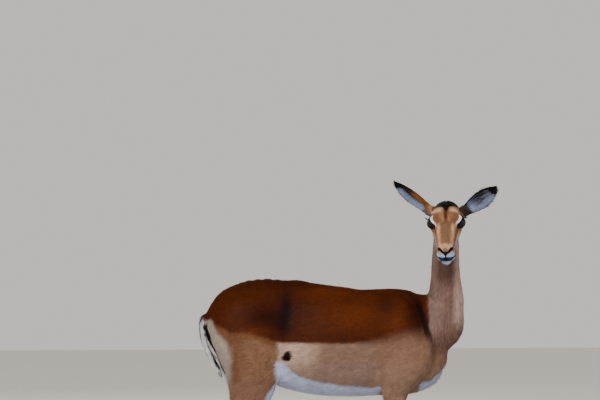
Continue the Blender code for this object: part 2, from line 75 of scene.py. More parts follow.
#         along, from the middle, up, half width, front depth, back depth
UPPER_ARM = [(0.195, 0.052, 0.800, 0.018, 0.042, 0.046),
             (0.225, 0.070, 0.735, 0.024, 0.062, 0.064),
             (0.268, 0.076, 0.650, 0.031, 0.060, 0.064),
             (0.245, 0.079, 0.585, 0.035, 0.062, 0.062),
             (0.205, 0.079, 0.535, 0.034, 0.054, 0.056)]
FORELEG = [(0.205, 0.079, 0.545, 0.034, 0.050, 0.056),
           (0.198, 0.078, 0.490, 0.030, 0.044, 0.047),
           (0.198, 0.075, 0.430, 0.0235, 0.031, 0.031),
           (0.201, 0.072, 0.365, 0.0180, 0.0220, 0.0220),
           (0.205, 0.069, 0.315, 0.0165, 0.0185, 0.0185),
           (0.208, 0.068, 0.285, 0.0195, 0.0210, 0.0225),
           (0.207, 0.067, 0.255, 0.0165, 0.0175, 0.0195),
           (0.204, 0.066, 0.205, 0.0118, 0.0128, 0.0145),
           (0.202, 0.066, 0.130, 0.0120, 0.0130, 0.0150),
           (0.202, 0.066, 0.097, 0.0165, 0.0175, 0.0205),
           (0.212, 0.066, 0.062, 0.0150, 0.0145, 0.0155),
           (0.222, 0.066, 0.038, 0.0190, 0.0170, 0.0180)]
THIGH = [(-0.305, 0.046, 0.775, 0.052, 0.085, 0.080),
         (-0.300, 0.062, 0.700, 0.049, 0.112, 0.118),
         (-0.296, 0.068, 0.640, 0.047, 0.110, 0.118),
         (-0.290, 0.074, 0.570, 0.041, 0.096, 0.100),
         (-0.293, 0.078, 0.515, 0.036, 0.084, 0.080),
         (-0.305, 0.081, 0.466, 0.030, 0.056, 0.060)]
HINDLEG = [(-0.298, 0.079, 0.490, 0.033, 0.068, 0.070),
           (-0.312, 0.081, 0.455, 0.028, 0.052, 0.054),
           (-0.335, 0.082, 0.412, 0.0225, 0.036, 0.037),
           (-0.362, 0.082, 0.372, 0.0190, 0.0245, 0.026),
           (-0.384, 0.080, 0.336, 0.0195, 0.0260, 0.030),
           (-0.390, 0.079, 0.300, 0.0170, 0.0200, 0.022),
           (-0.386, 0.078, 0.255, 0.0135, 0.0150, 0.017),
           (-0.380, 0.077, 0.190, 0.0120, 0.0135, 0.0155),
           (-0.375, 0.076, 0.130, 0.0122, 0.0140, 0.0160),
           (-0.372, 0.075, 0.097, 0.0165, 0.0175, 0.0205),
           (-0.361, 0.075, 0.062, 0.0150, 0.0145, 0.0155),
           (-0.350, 0.075, 0.038, 0.0190, 0.0170, 0.0180)]
HEEL = [(-0.372, 0.080, 0.400, 0.010, 0.011, 0.011),
        (-0.398, 0.080, 0.372, 0.011, 0.012, 0.012),
        (-0.408, 0.080, 0.352, 0.013, 0.013, 0.013),
        (-0.403, 0.080, 0.320, 0.012, 0.013, 0.012)]
LEFT_FORE_STEP, LEFT_HIND_STEP = 0.045, 0.075        # the left feet stand this far ahead of the right
TAIL = [(-0.410, 0, 0.766, 0.020, 0.014, 0.014),
        (-0.447, 0, 0.748, 0.021, 0.014, 0.014),
        (-0.455, 0, 0.702, 0.023, 0.012, 0.013),
        (-0.445, 0, 0.655, 0.024, 0.012, 0.013),
        (-0.424, 0, 0.612, 0.022, 0.011, 0.012),
        (-0.402, 0, 0.574, 0.017, 0.010, 0.010),
        (-0.385, 0, 0.545, 0.007, 0.005, 0.005)]
TAIL_CLEARANCE = 0.004

# the head's own axes: across to its left, along the face to the nose, up out of the brow
HEAD_AT = np.array([0.3663, -0.105, 1.070])          # between the eyes
HEAD_PITCH, HEAD_YAW, HEAD_ROLL = (math.radians(a) for a in (31, -8.5, 2))
#        along, up, half width, upper depth, lower depth
SKULL = [(-0.092, -0.014, 0.028, 0.020, 0.030),
         (-0.078, -0.004, 0.041, 0.035, 0.045),
         (-0.050, 0.000, 0.047, 0.044, 0.058),
         (-0.015, -0.004, 0.046, 0.045, 0.062),
         (0.020, -0.010, 0.041, 0.044, 0.054),
         (0.055, -0.014, 0.036, 0.040, 0.048),
         (0.090, -0.018, 0.0315, 0.035, 0.044),
         (0.120, -0.022, 0.0285, 0.031, 0.040),
         (0.136, -0.026, 0.0265, 0.028, 0.037)]
JAW = [(-0.055, -0.052, 0.030, 0.020, 0.020),
       (0.000, -0.060, 0.027, 0.018, 0.017),
       (0.060, -0.064, 0.022, 0.014, 0.014),
       (0.105, -0.066, 0.019, 0.012, 0.013),
       (0.128, -0.068, 0.018, 0.010, 0.013)]
EYE_ACROSS, EYE_ALONG, EYE_UP, EYE_RADIUS = 0.0485, 0.002, 0.003, 0.0165
# each ear: base, tip and the way its hollow faces; the right one is turned half away
EARS = {-1: ((0.3130, -0.062, 1.106), (0.1925, -0.060, 1.2065), (-0.555, -0.40, -0.73)),
        1: ((0.4345, -0.056, 1.108), (0.5430, -0.062, 1.1870), (0.16, -0.96, -0.20))}
#      share of the length, half width, back depth, front lip, bulge of the rim
EAR = [(-0.10, 0.018, 0.020, 0.014, -0.004),
       (0.06, 0.020, 0.024, 0.012, 0.000),
       (0.22, 0.025, 0.027, 0.008, 0.004),
       (0.42, 0.0305, 0.029, 0.003, 0.007),
       (0.60, 0.0295, 0.027, 0.002, 0.007),
       (0.78, 0.0225, 0.019, 0.002, 0.004),
       (0.90, 0.0150, 0.011, 0.002, 0.001),
       (0.98, 0.0062, 0.005, 0.002, -0.002)]
EAR_WALL = 0.0045
EAR_SPARE, EAR_FOOT_SPARE = 0.0008, 0.0030      # left in the skin's hollow beyond the solid's, most at the foot


# ---- distance fields of the forms -------------------------------------------------------------------
FAR = 1.0
FORWARD, LEFT, UP = np.eye(3)


def curve_through(rows, steps):
    """Smooth rows of numbers through the given rows, with so many steps between two of them."""
    rows = np.array(rows, float)
    ends = np.vstack([2 * rows[0] - rows[1], rows, 2 * rows[-1] - rows[-2]])
    made = []
    for i in range(len(rows) - 1):
        a, b, c, d = ends[i:i + 4]
        for t in np.arange(steps) / steps:
            made.append(0.5 * (2 * b + (c - a) * t + (2 * a - 5 * b + 4 * c - d) * t * t
                               + (3 * b - a - 3 * c + d) * t ** 3))
    made.append(rows[-1])
    return np.array(made)


class Grid:
    """Distances at the points of a box of even cells."""
    def __init__(self, low, high, step):
        self.low, self.step = np.array(low, float), step
        self.axes = [np.arange(l, h + step, step) for l, h in zip(low, high)]
        self.d = np.full([len(a) for a in self.axes], FAR, np.float32)

    def near(self, low, high):
        return tuple(slice(int(np.searchsorted(a, l)), int(np.searchsorted(a, h)))
                     for a, l, h in zip(self.axes, low, high))

    def positions(self, where):
        return np.stack(np.meshgrid(*(a[w] for a, w in zip(self.axes, where)), indexing="ij"), -1)


class Sweep:
    """A tube with elliptical sections: rows of centre, half width, front and back depth."""
    def __init__(self, rows, front, grow=0.0, steps=4):
        rows = np.array(rows, float)
        front = np.broadcast_to(np.array(front, float), (len(rows), 3))
        made = curve_through(np.hstack([rows, front]), steps)
        self.c = made[:, :3]
        self.r = np.maximum(made[:, 3:6], 0.002) + grow
        along = np.gradient(self.c, axis=0)
        along /= np.linalg.norm(along, axis=1)[:, None]
        front = made[:, 6:9] - (made[:, 6:9] * along).sum(1)[:, None] * along
        front /= np.linalg.norm(front, axis=1)[:, None]
        self.frames = np.stack([np.cross(front, along), front, along], 1)

    def box(self, margin):
        reach = self.r.max(1)[:, None] + margin
        return (self.c - reach).min(0), (self.c + reach).max(0)

    def distance(self, samples, margin):
        e = np.full(samples.d.shape, FAR, samples.d.dtype)
        for i in range(len(self.c) - 1):
            first, last = self.c[i], self.c[i + 1]
            reach = max(self.r[i].max(), self.r[i + 1].max()) + margin
            where = samples.near(np.minimum(first, last) - reach, np.maximum(first, last) + reach)
            p = samples.positions(where)
            if p.size == 0:
                continue
            axis = last - first
            t = np.clip((p - first) @ axis / (axis @ axis), 0, 1)[..., None]
            q = p - (first + t * axis)
            u, v, w = ((q * (self.frames[i][k] * (1 - t) + self.frames[i + 1][k] * t)).sum(-1)
                       for k in range(3))
            t = t[..., 0]
            a, front, back = (self.r[i][k] * (1 - t) + self.r[i + 1][k] * t for k in range(3))
            b = np.where(v > 0, front, back)
            c = np.minimum(a, b)
            k0 = np.sqrt((u / a) ** 2 + (v / b) ** 2 + (w / c) ** 2)
            k1 = np.sqrt((u / a ** 2) ** 2 + (v / b ** 2) ** 2 + (w / c ** 2) ** 2) + 1e-9
            e[where] = np.minimum(e[where], k0 * (k0 - 1) / k1)
        return e


class Ball:
    """An ellipsoid: centre, radii along its own axes, and those axes as rows."""
    def __init__(self, centre, radii, axes=np.eye(3)):
        self.c, self.r, self.axes = np.array(centre, float), np.array(radii, float), axes

    def box(self, margin):
        reach = self.r.max() + margin
        return self.c - reach, self.c + reach

    def distance(self, samples, margin):
        e = np.full(samples.d.shape, FAR, samples.d.dtype)
        where = samples.near(*self.box(margin))
        q = (samples.positions(where) - self.c) @ self.axes.T / self.r
        k0 = np.sqrt((q ** 2).sum(-1))
        k1 = np.sqrt(((q / self.r) ** 2).sum(-1)) + 1e-9
        e[where] = k0 * (k0 - 1) / k1
        return e


def merge(samples, form, blend, sign):
    """Join the form to what is there (sign 1) or cut it away (sign -1), with a soft edge."""
    margin = blend + 0.03
    e = form.distance(samples, margin)
    where = samples.near(*form.box(margin))
    d, e = samples.d[where] * sign, e[where]
    soft = np.maximum(blend - np.abs(d - e), 0) / blend
    samples.d[where] = sign * (np.minimum(d, e) - soft * soft * blend / 4)


def join(samples, form, blend):
    merge(samples, form, blend, 1)


def cut(samples, form, blend):
    merge(samples, form, blend, -1)


# ---- the animal's forms -----------------------------------------------------------------------------
def head_axes():
    """Rows: across to the head's left, along the face, up out of the brow."""
    ahead = np.array([math.sin(HEAD_YAW), -math.cos(HEAD_YAW), 0])
    across = np.cross(UP, ahead) * math.cos(HEAD_ROLL) + UP * math.sin(HEAD_ROLL)
    over = np.cross(ahead, across)
    nose = ahead * math.cos(HEAD_PITCH) - over * math.sin(HEAD_PITCH)
    brow = over * math.cos(HEAD_PITCH) + ahead * math.sin(HEAD_PITCH)
    return np.array([across, nose, brow])


HEAD_AXES = head_axes()


def on_head(across, along, up):
    return HEAD_AT + np.array([across, along, up], float) @ HEAD_AXES


def head_sweep(rows):
    return Sweep([(*on_head(0, along, up), w, top, low) for along, up, w, top, low in rows], HEAD_AXES[2])


def head_ball(across, along, up, radii, roll=0.0):
    c, s = math.cos(math.radians(roll)), math.sin(math.radians(roll))
    lean = np.array([[c, 0, -s], [0, 1, 0], [s, 0, c]])
    return Ball(on_head(across, along, up), radii, lean @ HEAD_AXES)


def eye_centre(side):
    return on_head(side * EYE_ACROSS, EYE_ALONG, EYE_UP)


def leg_sweep(rows, side, step=0.0):
    """A leg's tube on one side (left is 1), its foot carried ahead by the step."""
    made = []
    for x, y, z, a, front, back in rows:
        share = max(0.0, min(1.0, (0.58 - z) / 0.5))
        made.append((x + step * share, side * y, z, a, front, back))
    return Sweep(made, FORWARD)


def torso(samples):
    """Trunk, neck and the four legs."""
    join(samples, Sweep([(x, 0, mid, w, top - mid, mid - low) for x, top, low, w, mid in TRUNK], UP), 0.02)
    turns = [math.radians(row[6]) for row in NECK]
    front = [(math.cos(t), -math.sin(t), -0.6 if t == 0 else 0) for t in turns]
    join(samples, Sweep([row[:6] for row in NECK], front), 0.035)
    join(samples, Ball((0.3720, -0.010, 0.718), (0.066, 0.052, 0.076)), 0.03)     # swell of the lower neck
    for side in (-1, 1):
        fore_step = LEFT_FORE_STEP if side == 1 else 0.0
        hind_step = LEFT_HIND_STEP if side == 1 else 0.0
        join(samples, leg_sweep(UPPER_ARM, side, fore_step), 0.03)
        join(samples, leg_sweep(FORELEG, side, fore_step), 0.02)
        join(samples, leg_sweep(THIGH, side, hind_step), 0.04)
        join(samples, leg_sweep(HINDLEG, side, hind_step), 0.02)
        join(samples, leg_sweep(HEEL, side, hind_step), 0.012)
        # hollow of the flank before the haunch, and the one between shoulder and neck
        cut(samples, Ball((-0.170, side * 0.150, 0.780), (0.030, 0.045, 0.085)), 0.03)
        cut(samples, Ball((0.300, side * 0.125, 0.745), (0.026, 0.060, 0.060)), 0.03)


def tail_form(grow=0.0, first=0):
    return Sweep(TAIL[first:], FORWARD, grow)


def head(samples):
    """Skull, jaw, cheeks, brows, nostrils and lips."""
    join(samples, head_sweep(SKULL), 0.03)
    for side in (-1, 1):
        join(samples, head_ball(side * 0.028, -0.040, -0.042, (0.019, 0.040, 0.034)), 0.02)      # cheek
        join(samples, head_ball(side * 0.043, -0.004, 0.017, (0.0175, 0.024, 0.010), side * 22), 0.018)      # brow
        join(samples, head_ball(side * 0.045, 0.000, -0.012, (0.012, 0.030, 0.009)), 0.012)      # under the eye
        cut(samples, head_ball(side * 0.067, 0.003, 0.003, (0.012, 0.016, 0.012)), 0.008)        # orbit
        join(samples, head_ball(side * 0.0150, 0.144, -0.009, (0.0130, 0.012, 0.014)), 0.012)    # nostril wing
        join(samples, head_ball(side * 0.0145, 0.138, -0.040, (0.0185, 0.018, 0.018)), 0.012)    # upper lip
    join(samples, head_sweep(JAW), 0.012)
    for side in (-1, 1):
        cut(samples, head_ball(side * 0.0165, 0.160, -0.008, (0.0045, 0.009, 0.0045)), 0.004)    # nostril


def ear(samples, side):
    """A leaf of elliptical sections with its hollow taken out toward the opening."""
    base, tip, facing = (np.array(v) for v in EARS[side])
    way = tip - base
    front = facing - way * (facing @ way) / (way @ way)
    front /= np.linalg.norm(front)
    outer, inner = [], []
    for share, width, back, lip, bulge in EAR:
        at = base + way * share + front * bulge
        outer.append((*at, width, lip, back))
        if share > 0.15:
            inner.append((*(at + front * 0.0005), width - EAR_WALL, 0.05,
                    max(back - EAR_WALL - (EAR_FOOT_SPARE if share < 0.3 else EAR_SPARE), 0.0015)))
    join(samples, Sweep(outer, front), 0.012)
    cut(samples, Sweep(inner, front), 0.0015)


def surface_net(samples):
    """Vertices and quads, facing outward, where the distances pass through zero."""
    d = samples.d
    inside = d < 0
    cells = [n - 1 for n in d.shape]
    total, count = np.zeros((*cells, 3), np.float32), np.zeros(cells, np.int32)
    crossings = []
    for axis in range(3):
        first = tuple(slice(None, -1) if a == axis else slice(None) for a in range(3))
        last = tuple(slice(1, None) if a == axis else slice(None) for a in range(3))
        at = np.argwhere(inside[first] != inside[last])
        v0, v1 = d[first][tuple(at.T)], d[last][tuple(at.T)]
        point = at.astype(np.float32)
        point[:, axis] += v0 / (v0 - v1)
        b, c = (axis + 1) % 3, (axis + 2) % 3
        corners = []
        for db, dc in ((0, 0), (-1, 0), (-1, -1), (0, -1)):
            cell = at.copy()
            cell[:, b] += db
            cell[:, c] += dc
            corners.append(cell)
        whole = np.all([((cell >= 0) & (cell < cells)).all(1) for cell in corners], 0)
        for cell in corners:
            np.add.at(total, tuple(cell[whole].T), point[whole])
            np.add.at(count, tuple(cell[whole].T), 1)
        crossings.append(([cell[whole] for cell in corners], v0[whole] < 0))
    number = np.full(cells, -1)
    used = count > 0
    number[used] = np.arange(used.sum())
    vertices = total[used] / count[used][:, None] * samples.step + samples.low
    quads = []
    for corners, outward in crossings:
        ring = np.stack([number[tuple(cell.T)] for cell in corners], 1)
        quads.append(np.where(outward[:, None], ring, ring[:, ::-1]))
    return vertices, np.vstack(quads)


# the forms are drawn about the animal's withers; the frame stands on the middle of its footprint
eye_box = np.array(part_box("eye_right"))
HOME = eye_box.mean(0) - eye_centre(-1)
HOME[2] = 0.0


# ---- what the skin adds to the forms: lids, nostrils, lips -------------------------------------------
def eye_axes(side):
    """Rows for the opening of one eye: along it to the tear duct, across it, and straight out."""
    out = side * 0.76 * HEAD_AXES[0] + 0.56 * HEAD_AXES[1] + 0.26 * HEAD_AXES[2]
    out /= np.linalg.norm(out)
    slant = HEAD_AXES[1] - 0.15 * HEAD_AXES[2]
    along = slant - out * (slant @ out)
    along /= np.linalg.norm(along)
    over = np.cross(out, along)
    return np.array([along, over * np.sign(over[2]), out])


LID_ALONG, LID_OVER = 0.0164, 0.0110        # half the opening of the lids


def lids(samples, side):
    """A shell over the eyeball, opened in an almond that slants down toward the nose."""
    centre, axes = eye_centre(side), eye_axes(side)
    join(samples, Ball(centre, (EYE_RADIUS + 0.0034,) * 3), 0.007)
    cut(samples, Ball(centre + axes[2] * 0.0175, (LID_ALONG, LID_OVER, 0.0125), axes), 0.0010)
    tear = centre + axes[2] * 0.0140 + axes[0] * 0.0160 - axes[1] * 0.0010
    cut(samples, Ball(tear, (0.0060, 0.0024, 0.0060), axes), 0.0015)
    # creases over the upper lid and under the lower one
    for lift, depth in ((0.0205, 0.0155), (-0.0190, 0.0150)):
        rows = [centre + axes[0] * a + axes[1] * lift * (1 - (a / 0.026) ** 2) + axes[2] * (depth - 9 * a * a)
                for a in (-0.014, -0.007, 0.0, 0.007, 0.014)]
        cut(samples, Sweep([(*row, 0.0010, 0.0010, 0.0010) for row in rows], axes[2]), 0.003)


NOSTRIL = [(0.0215, 0.1480, 0.0015, 0.0024), (0.0200, 0.1530, -0.0050, 0.0042), (0.0150, 0.1575, -0.0100, 0.0040),
           (0.0090, 0.1605, -0.0145, 0.0026), (0.0030, 0.1620, -0.0185, 0.0014)]
MOUTH = [(0.0000, 0.1450, -0.0575), (0.0120, 0.1430, -0.0570), (0.0200, 0.1360, -0.0560), (0.0250, 0.1220, -0.0545),
         (0.0270, 0.1050, -0.0510), (0.0285, 0.0900, -0.0480)]


def muzzle_details(samples):
    """Nostrils running down and inward, the split of the lip, the mouth line back along the cheek."""
    for side in (-1, 1):
        rows = [(*on_head(side * s, f, u), r, r, r) for s, f, u, r in NOSTRIL]
        cut(samples, Sweep(rows, HEAD_AXES[2]), 0.0025)
        rows = [(*on_head(side * s, f, u), 0.0020, 0.0020, 0.0020) for s, f, u in MOUTH]
        cut(samples, Sweep(rows, HEAD_AXES[2]), 0.003)
    path = [(0, 0.1610, -0.021), (0, 0.1600, -0.036), (0, 0.1555, -0.048), (0, 0.1470, -0.0565)]
    cut(samples, Sweep([(*on_head(*p), 0.0014, 0.0014, 0.0014) for p in path], HEAD_AXES[2]), 0.003)


def coat_depth(x, y, z):
    """How far the skin lies under the tips of the hair."""
    def over(value, low, high):
        return np.clip((value - low) / (high - low), 0, 1)
    depth = 0.003 + 0.003 * over(z, 0.40, 0.52) - 0.0012 * over(-z, -0.13, -0.08)
    depth = depth - 0.0015 * over(z, 0.86, 0.94)
    face = np.maximum(over(-y, 0.085, 0.115), over(z, 1.02, 1.06)) * over(z, 0.90, 0.93)
    depth = depth + (0.0016 - depth) * face
    ears = np.maximum(over(-x, -0.300, -0.285), over(x, 0.440, 0.455)) * over(z, 1.06, 1.09)
    depth = depth + (0.0007 - depth) * ears
    behind = over(-x, 0.425, 0.440) * over(z, 0.50, 0.54)
    return depth + (0.006 - depth) * behind


def body_forms(samples):
    torso(samples)
    cut(samples, tail_form(TAIL_CLEARANCE, first=2), 0.006)
    join(samples, tail_form(), 0.003)


def head_forms(samples):
    torso(samples)
    head(samples)
    for side in (-1, 1):
        lids(samples, side)
        ear(samples, side)
    muzzle_details(samples)


class Cloud:
    """Distances at loose points."""
    def __init__(self, points):
        self.points, self.d = points, np.full(len(points), FAR)

    def near(self, low, high):
        return np.flatnonzero(((self.points > low) & (self.points < high)).all(1))

    def positions(self, where):
        return self.points[where]


def field_at(points, forms):
    cloud = Cloud(points)
    forms(cloud)
    return cloud.d + coat_depth(*points.T)


def settle_on_form(points, forms, rounds=2, reach=0.0010):
    """Slide points along the field's slope onto the skin."""
    nudge = 0.0004
    for _ in range(rounds):
        here = field_at(points, forms)
        slope = np.stack([field_at(points + nudge * axis, forms) - here for axis in np.eye(3)], 1) / nudge
        size = np.maximum(np.linalg.norm(slope, axis=1), 0.3)[:, None]
        move = slope / size ** 2 * here[:, None]
        length = np.linalg.norm(move, axis=1)[:, None]
        points = points - move * np.minimum(1, reach / np.maximum(length, 1e-9))
    return points


# ---- the skin: one mesh, coarse on the body and fine from the upper neck on ---------------------------
SEAM = 0.900
BODY_STEP, HEAD_STEP = 0.0055, 0.0023


def skin_part(low, high, step, forms):
    samples = Grid(low, high, step)
    forms(samples)
    x, y, z = samples.axes
    samples.d += coat_depth(x[:, None, None], y[None, :, None], z[None, None, :]).astype(np.float32)
    vertices, quads = surface_net(samples)
    mesh = bpy.data.meshes.new("part")
    mesh.from_pydata(vertices.tolist(), [], quads.tolist())
    return mesh


def trim(mesh, height, keep_above):
    bm = bmesh.new()
    bm.from_mesh(mesh)
    up = Vector((0, 0, 1 if keep_above else -1))
    bmesh.ops.bisect_plane(bm, geom=bm.verts[:] + bm.edges[:] + bm.faces[:], dist=0.00002,
                           plane_co=Vector((0, 0, height)), plane_no=up, clear_inner=True)
    seen = set()
    largest = []
    for first in bm.verts:
        if first in seen:
            continue
        island, front = [first], [first]
        seen.add(first)
        while front:
            here = front.pop()
            for edge in here.link_edges:
                there = edge.other_vert(here)
                if there not in seen:
                    seen.add(there)
                    island.append(there)
                    front.append(there)
        if len(island) > len(largest):
            largest = island
    kept = set(largest)
    bmesh.ops.delete(bm, geom=[v for v in bm.verts if v not in kept], context="VERTS")
    return bm


def close_up(points):
    """True round the eyes and over the muzzle and mouth."""
    s, f, u = HEAD_AXES @ (points - HEAD_AT).T
    near = (f > 0.116) & (np.abs(s) < 0.06) & (u > -0.10) & (points[:, 2] > SEAM + 0.01)
    for side in (-1, 1):
        near |= np.linalg.norm(points - eye_centre(side), axis=1) < 0.027
    return near


def make_skin():
    body = trim(skin_part((-0.49, -0.17, 0.005), (0.44, 0.17, 0.925), BODY_STEP, body_forms), SEAM - 0.002, False)
    fine = trim(skin_part((0.17, -0.29, 0.885), (0.58, 0.03, 1.225), HEAD_STEP, head_forms), SEAM + 0.002, True)
    holder = bpy.data.meshes.new("fine")
    fine.to_mesh(holder)
    body.from_mesh(holder)
    rims = [edge for edge in body.edges if edge.is_boundary]
    bmesh.ops.bridge_loops(body, edges=rims)
    bmesh.ops.smooth_vert(body, verts=[v for v in body.verts if v.co.z < SEAM], factor=0.5,
                          use_axis_x=True, use_axis_y=True, use_axis_z=True)
    # finer faces round the eyes, over the muzzle and the mouth
    body.edges.ensure_lookup_table()
    middles = np.array([(edge.verts[0].co + edge.verts[1].co) / 2 for edge in body.edges])
    chosen = close_up(middles)
    bmesh.ops.subdivide_edges(body, edges=[body.edges[i] for i in np.flatnonzero(chosen)], cuts=1, use_grid_fill=True)
    mesh = bpy.data.meshes.new("skin")
    bmesh.ops.triangulate(body, faces=[f for f in body.faces if len(f.verts) > 4])
    bmesh.ops.recalc_face_normals(body, faces=body.faces)
    body.to_mesh(mesh)
    body.free()
    points = np.zeros(len(mesh.vertices) * 3)
    mesh.vertices.foreach_get("co", points)
    points = points.reshape(-1, 3)
    detail = close_up(points)
    points[detail] = settle_on_form(points[detail], head_forms)
    mesh.vertices.foreach_set("co", points.ravel())
    mesh.shade_smooth()
    return mesh


# ---- markings: one formula for skin and coat, in linear colour ----------------------------------------
def blend(a, b, share):
    return a + (b - a) * share[:, None]


def rise(value, low, high):
    """A smooth step from 0 at low to 1 at high."""
    t = np.clip((value - low) / (high - low), 0, 1)
    return t * t * (3 - 2 * t)


def bell(value, middle, half, soft):
    return 1 - rise(np.abs(value - middle), half - soft, half + soft)


def along_curve(value, rows):
    rows = np.array(rows)
    return np.interp(value, rows[:, 0], rows[:, 1])


def curve_reach(points, rows, limit=0.06):
    """Distance from each point to a path (no more than the limit), and the share of the path nearest to it."""
    path = curve_through([row[:3] for row in rows], 6)
    reach, share = np.full(len(points), limit), np.zeros(len(points))
    near = np.flatnonzero(((points > path.min(0) - limit) & (points < path.max(0) + limit)).all(1))
    gaps = np.linalg.norm(points[near, None, :] - path[None], axis=2)
    nearest = gaps.argmin(1)
    reach[near] = gaps[np.arange(len(near)), nearest]
    share[near] = nearest / (len(path) - 1)
    return reach, share


SADDLE_EDGE = [(-0.46, 0.745), (-0.4155, 0.7346), (-0.391, 0.721), (-0.360, 0.7074), (-0.292, 0.702),
               (-0.258, 0.694), (-0.205, 0.671), (-0.190, 0.667), (0.0816, 0.667), (0.13, 0.669),
               (0.17, 0.674), (0.21, 0.684), (0.25, 0.696), (0.31, 0.700)]
BELLY_EDGE = [(-0.20, 0.605), (-0.170, 0.592), (-0.1506, 0.5697), (-0.1224, 0.551), (-0.0884, 0.541),
              (-0.0544, 0.534), (0.0136, 0.522), (0.20, 0.508), (0.2754, 0.5204), (0.326, 0.537),
              (0.357, 0.567), (0.374, 0.588), (0.384, 0.600)]
THIGH_EDGE = [(0.40, -0.300), (0.466, -0.252), (0.502, -0.232), (0.539, -0.204), (0.60, -0.202), (0.667, -0.204),
              (0.72, -0.196)]
STRIPE_PATH = [(0.56, 0.074), (0.60, 0.070), (0.63, 0.063), (0.66, 0.055), (0.69, 0.045), (0.72, 0.031),
               (0.745, 0.017)]
# painted light and shade on the saddle, highlights where it swells toward the light and shade in its hollows and
# creases: along, height, half length, half height, how much lighter or darker
SADDLE_LIGHT_AND_SHADE = [(0.065, 0.760, 0.100, 0.050, 0.55), (-0.168, 0.785, 0.017, 0.062, -0.46),
        (-0.172, 0.780, 0.052, 0.080, -0.42),
                 (-0.120, 0.785, 0.045, 0.055, -0.12), (-0.245, 0.750, 0.060, 0.032, -0.42),
                 (-0.300, 0.707, 0.050, 0.013, 0.55), (-0.345, 0.800, 0.050, 0.045, 0.05),
                 (0.262, 0.775, 0.020, 0.060, -0.50), (0.205, 0.745, 0.030, 0.045, 0.45),
                 (-0.010, 0.690, 0.120, 0.016, -0.20), (0.318, 0.790, 0.012, 0.045, 0.30),
                 (-0.182, 0.715, 0.030, 0.035, -0.42), (-0.020, 0.836, 0.070, 0.020, 0.45), (0.172, 0.787, 0.036,
                         0.030, -0.50),
                 (-0.258, 0.772, 0.050, 0.030, -0.20)]


def tone(*values):
    return np.array(values)


SADDLE, FLANK, SHOULDER = tone(0.066, 0.0125, 0.0016), tone(0.450, 0.305, 0.235), tone(0.225, 0.122, 0.078)
THIGH_TAN, LEG_TAN = tone(0.205, 0.104, 0.060), tone(0.330, 0.180, 0.100)
NECK_MID, NECK_PALE = tone(0.190, 0.112, 0.094), tone(0.330, 0.225, 0.185)
WHITE, BLACK, GREY = tone(0.74, 0.73, 0.75), tone(0.004, 0.003, 0.003), tone(0.36, 0.285, 0.250)


def ear_front(side):
    base, tip, facing = (np.array(v) for v in EARS[side])
    way = tip - base
    front = facing - way * (facing @ way) / (way @ way)
    return front / np.linalg.norm(front)


def ear_place(points, side):
    """Share of the ear's length, the way across its width, and out of its hollow."""
    base, tip = (np.array(v) for v in EARS[side][:2])
    way = tip - base
    front = ear_front(side)
    q = points - base
    share = q @ way / (way @ way)
    return share, q @ np.cross(front, way / np.linalg.norm(way)), q @ front


def leg_reach(x, z, rows, step):
    """How far ahead (+) or behind (-) of a leg's middle line a point lies, in its half depths."""
    rows = np.array(rows)[::-1]
    shift = step * np.clip((0.58 - z) / 0.5, 0, 1)
    middle = np.interp(z, rows[:, 2], rows[:, 0]) + shift
    return (x - middle) / np.interp(z, rows[:, 2], rows[:, 4])


def tail_place(p):
    """1 on the tail, 0 off it, and the share of its length."""
    x, y, z = p.T
    rows = np.array(TAIL)[::-1]
    middle = np.interp(z, rows[:, 2], rows[:, 0])
    on = (1 - rise(x - middle, 0.013, 0.017)) * (1 - rise(np.abs(y), 0.027, 0.031)) * rise(-x, 0.372, 0.376)
    return on * rise(z, 0.528, 0.534) * (1 - rise(z, 0.762, 0.772)), np.clip((0.766 - z) / 0.221, 0, 1)


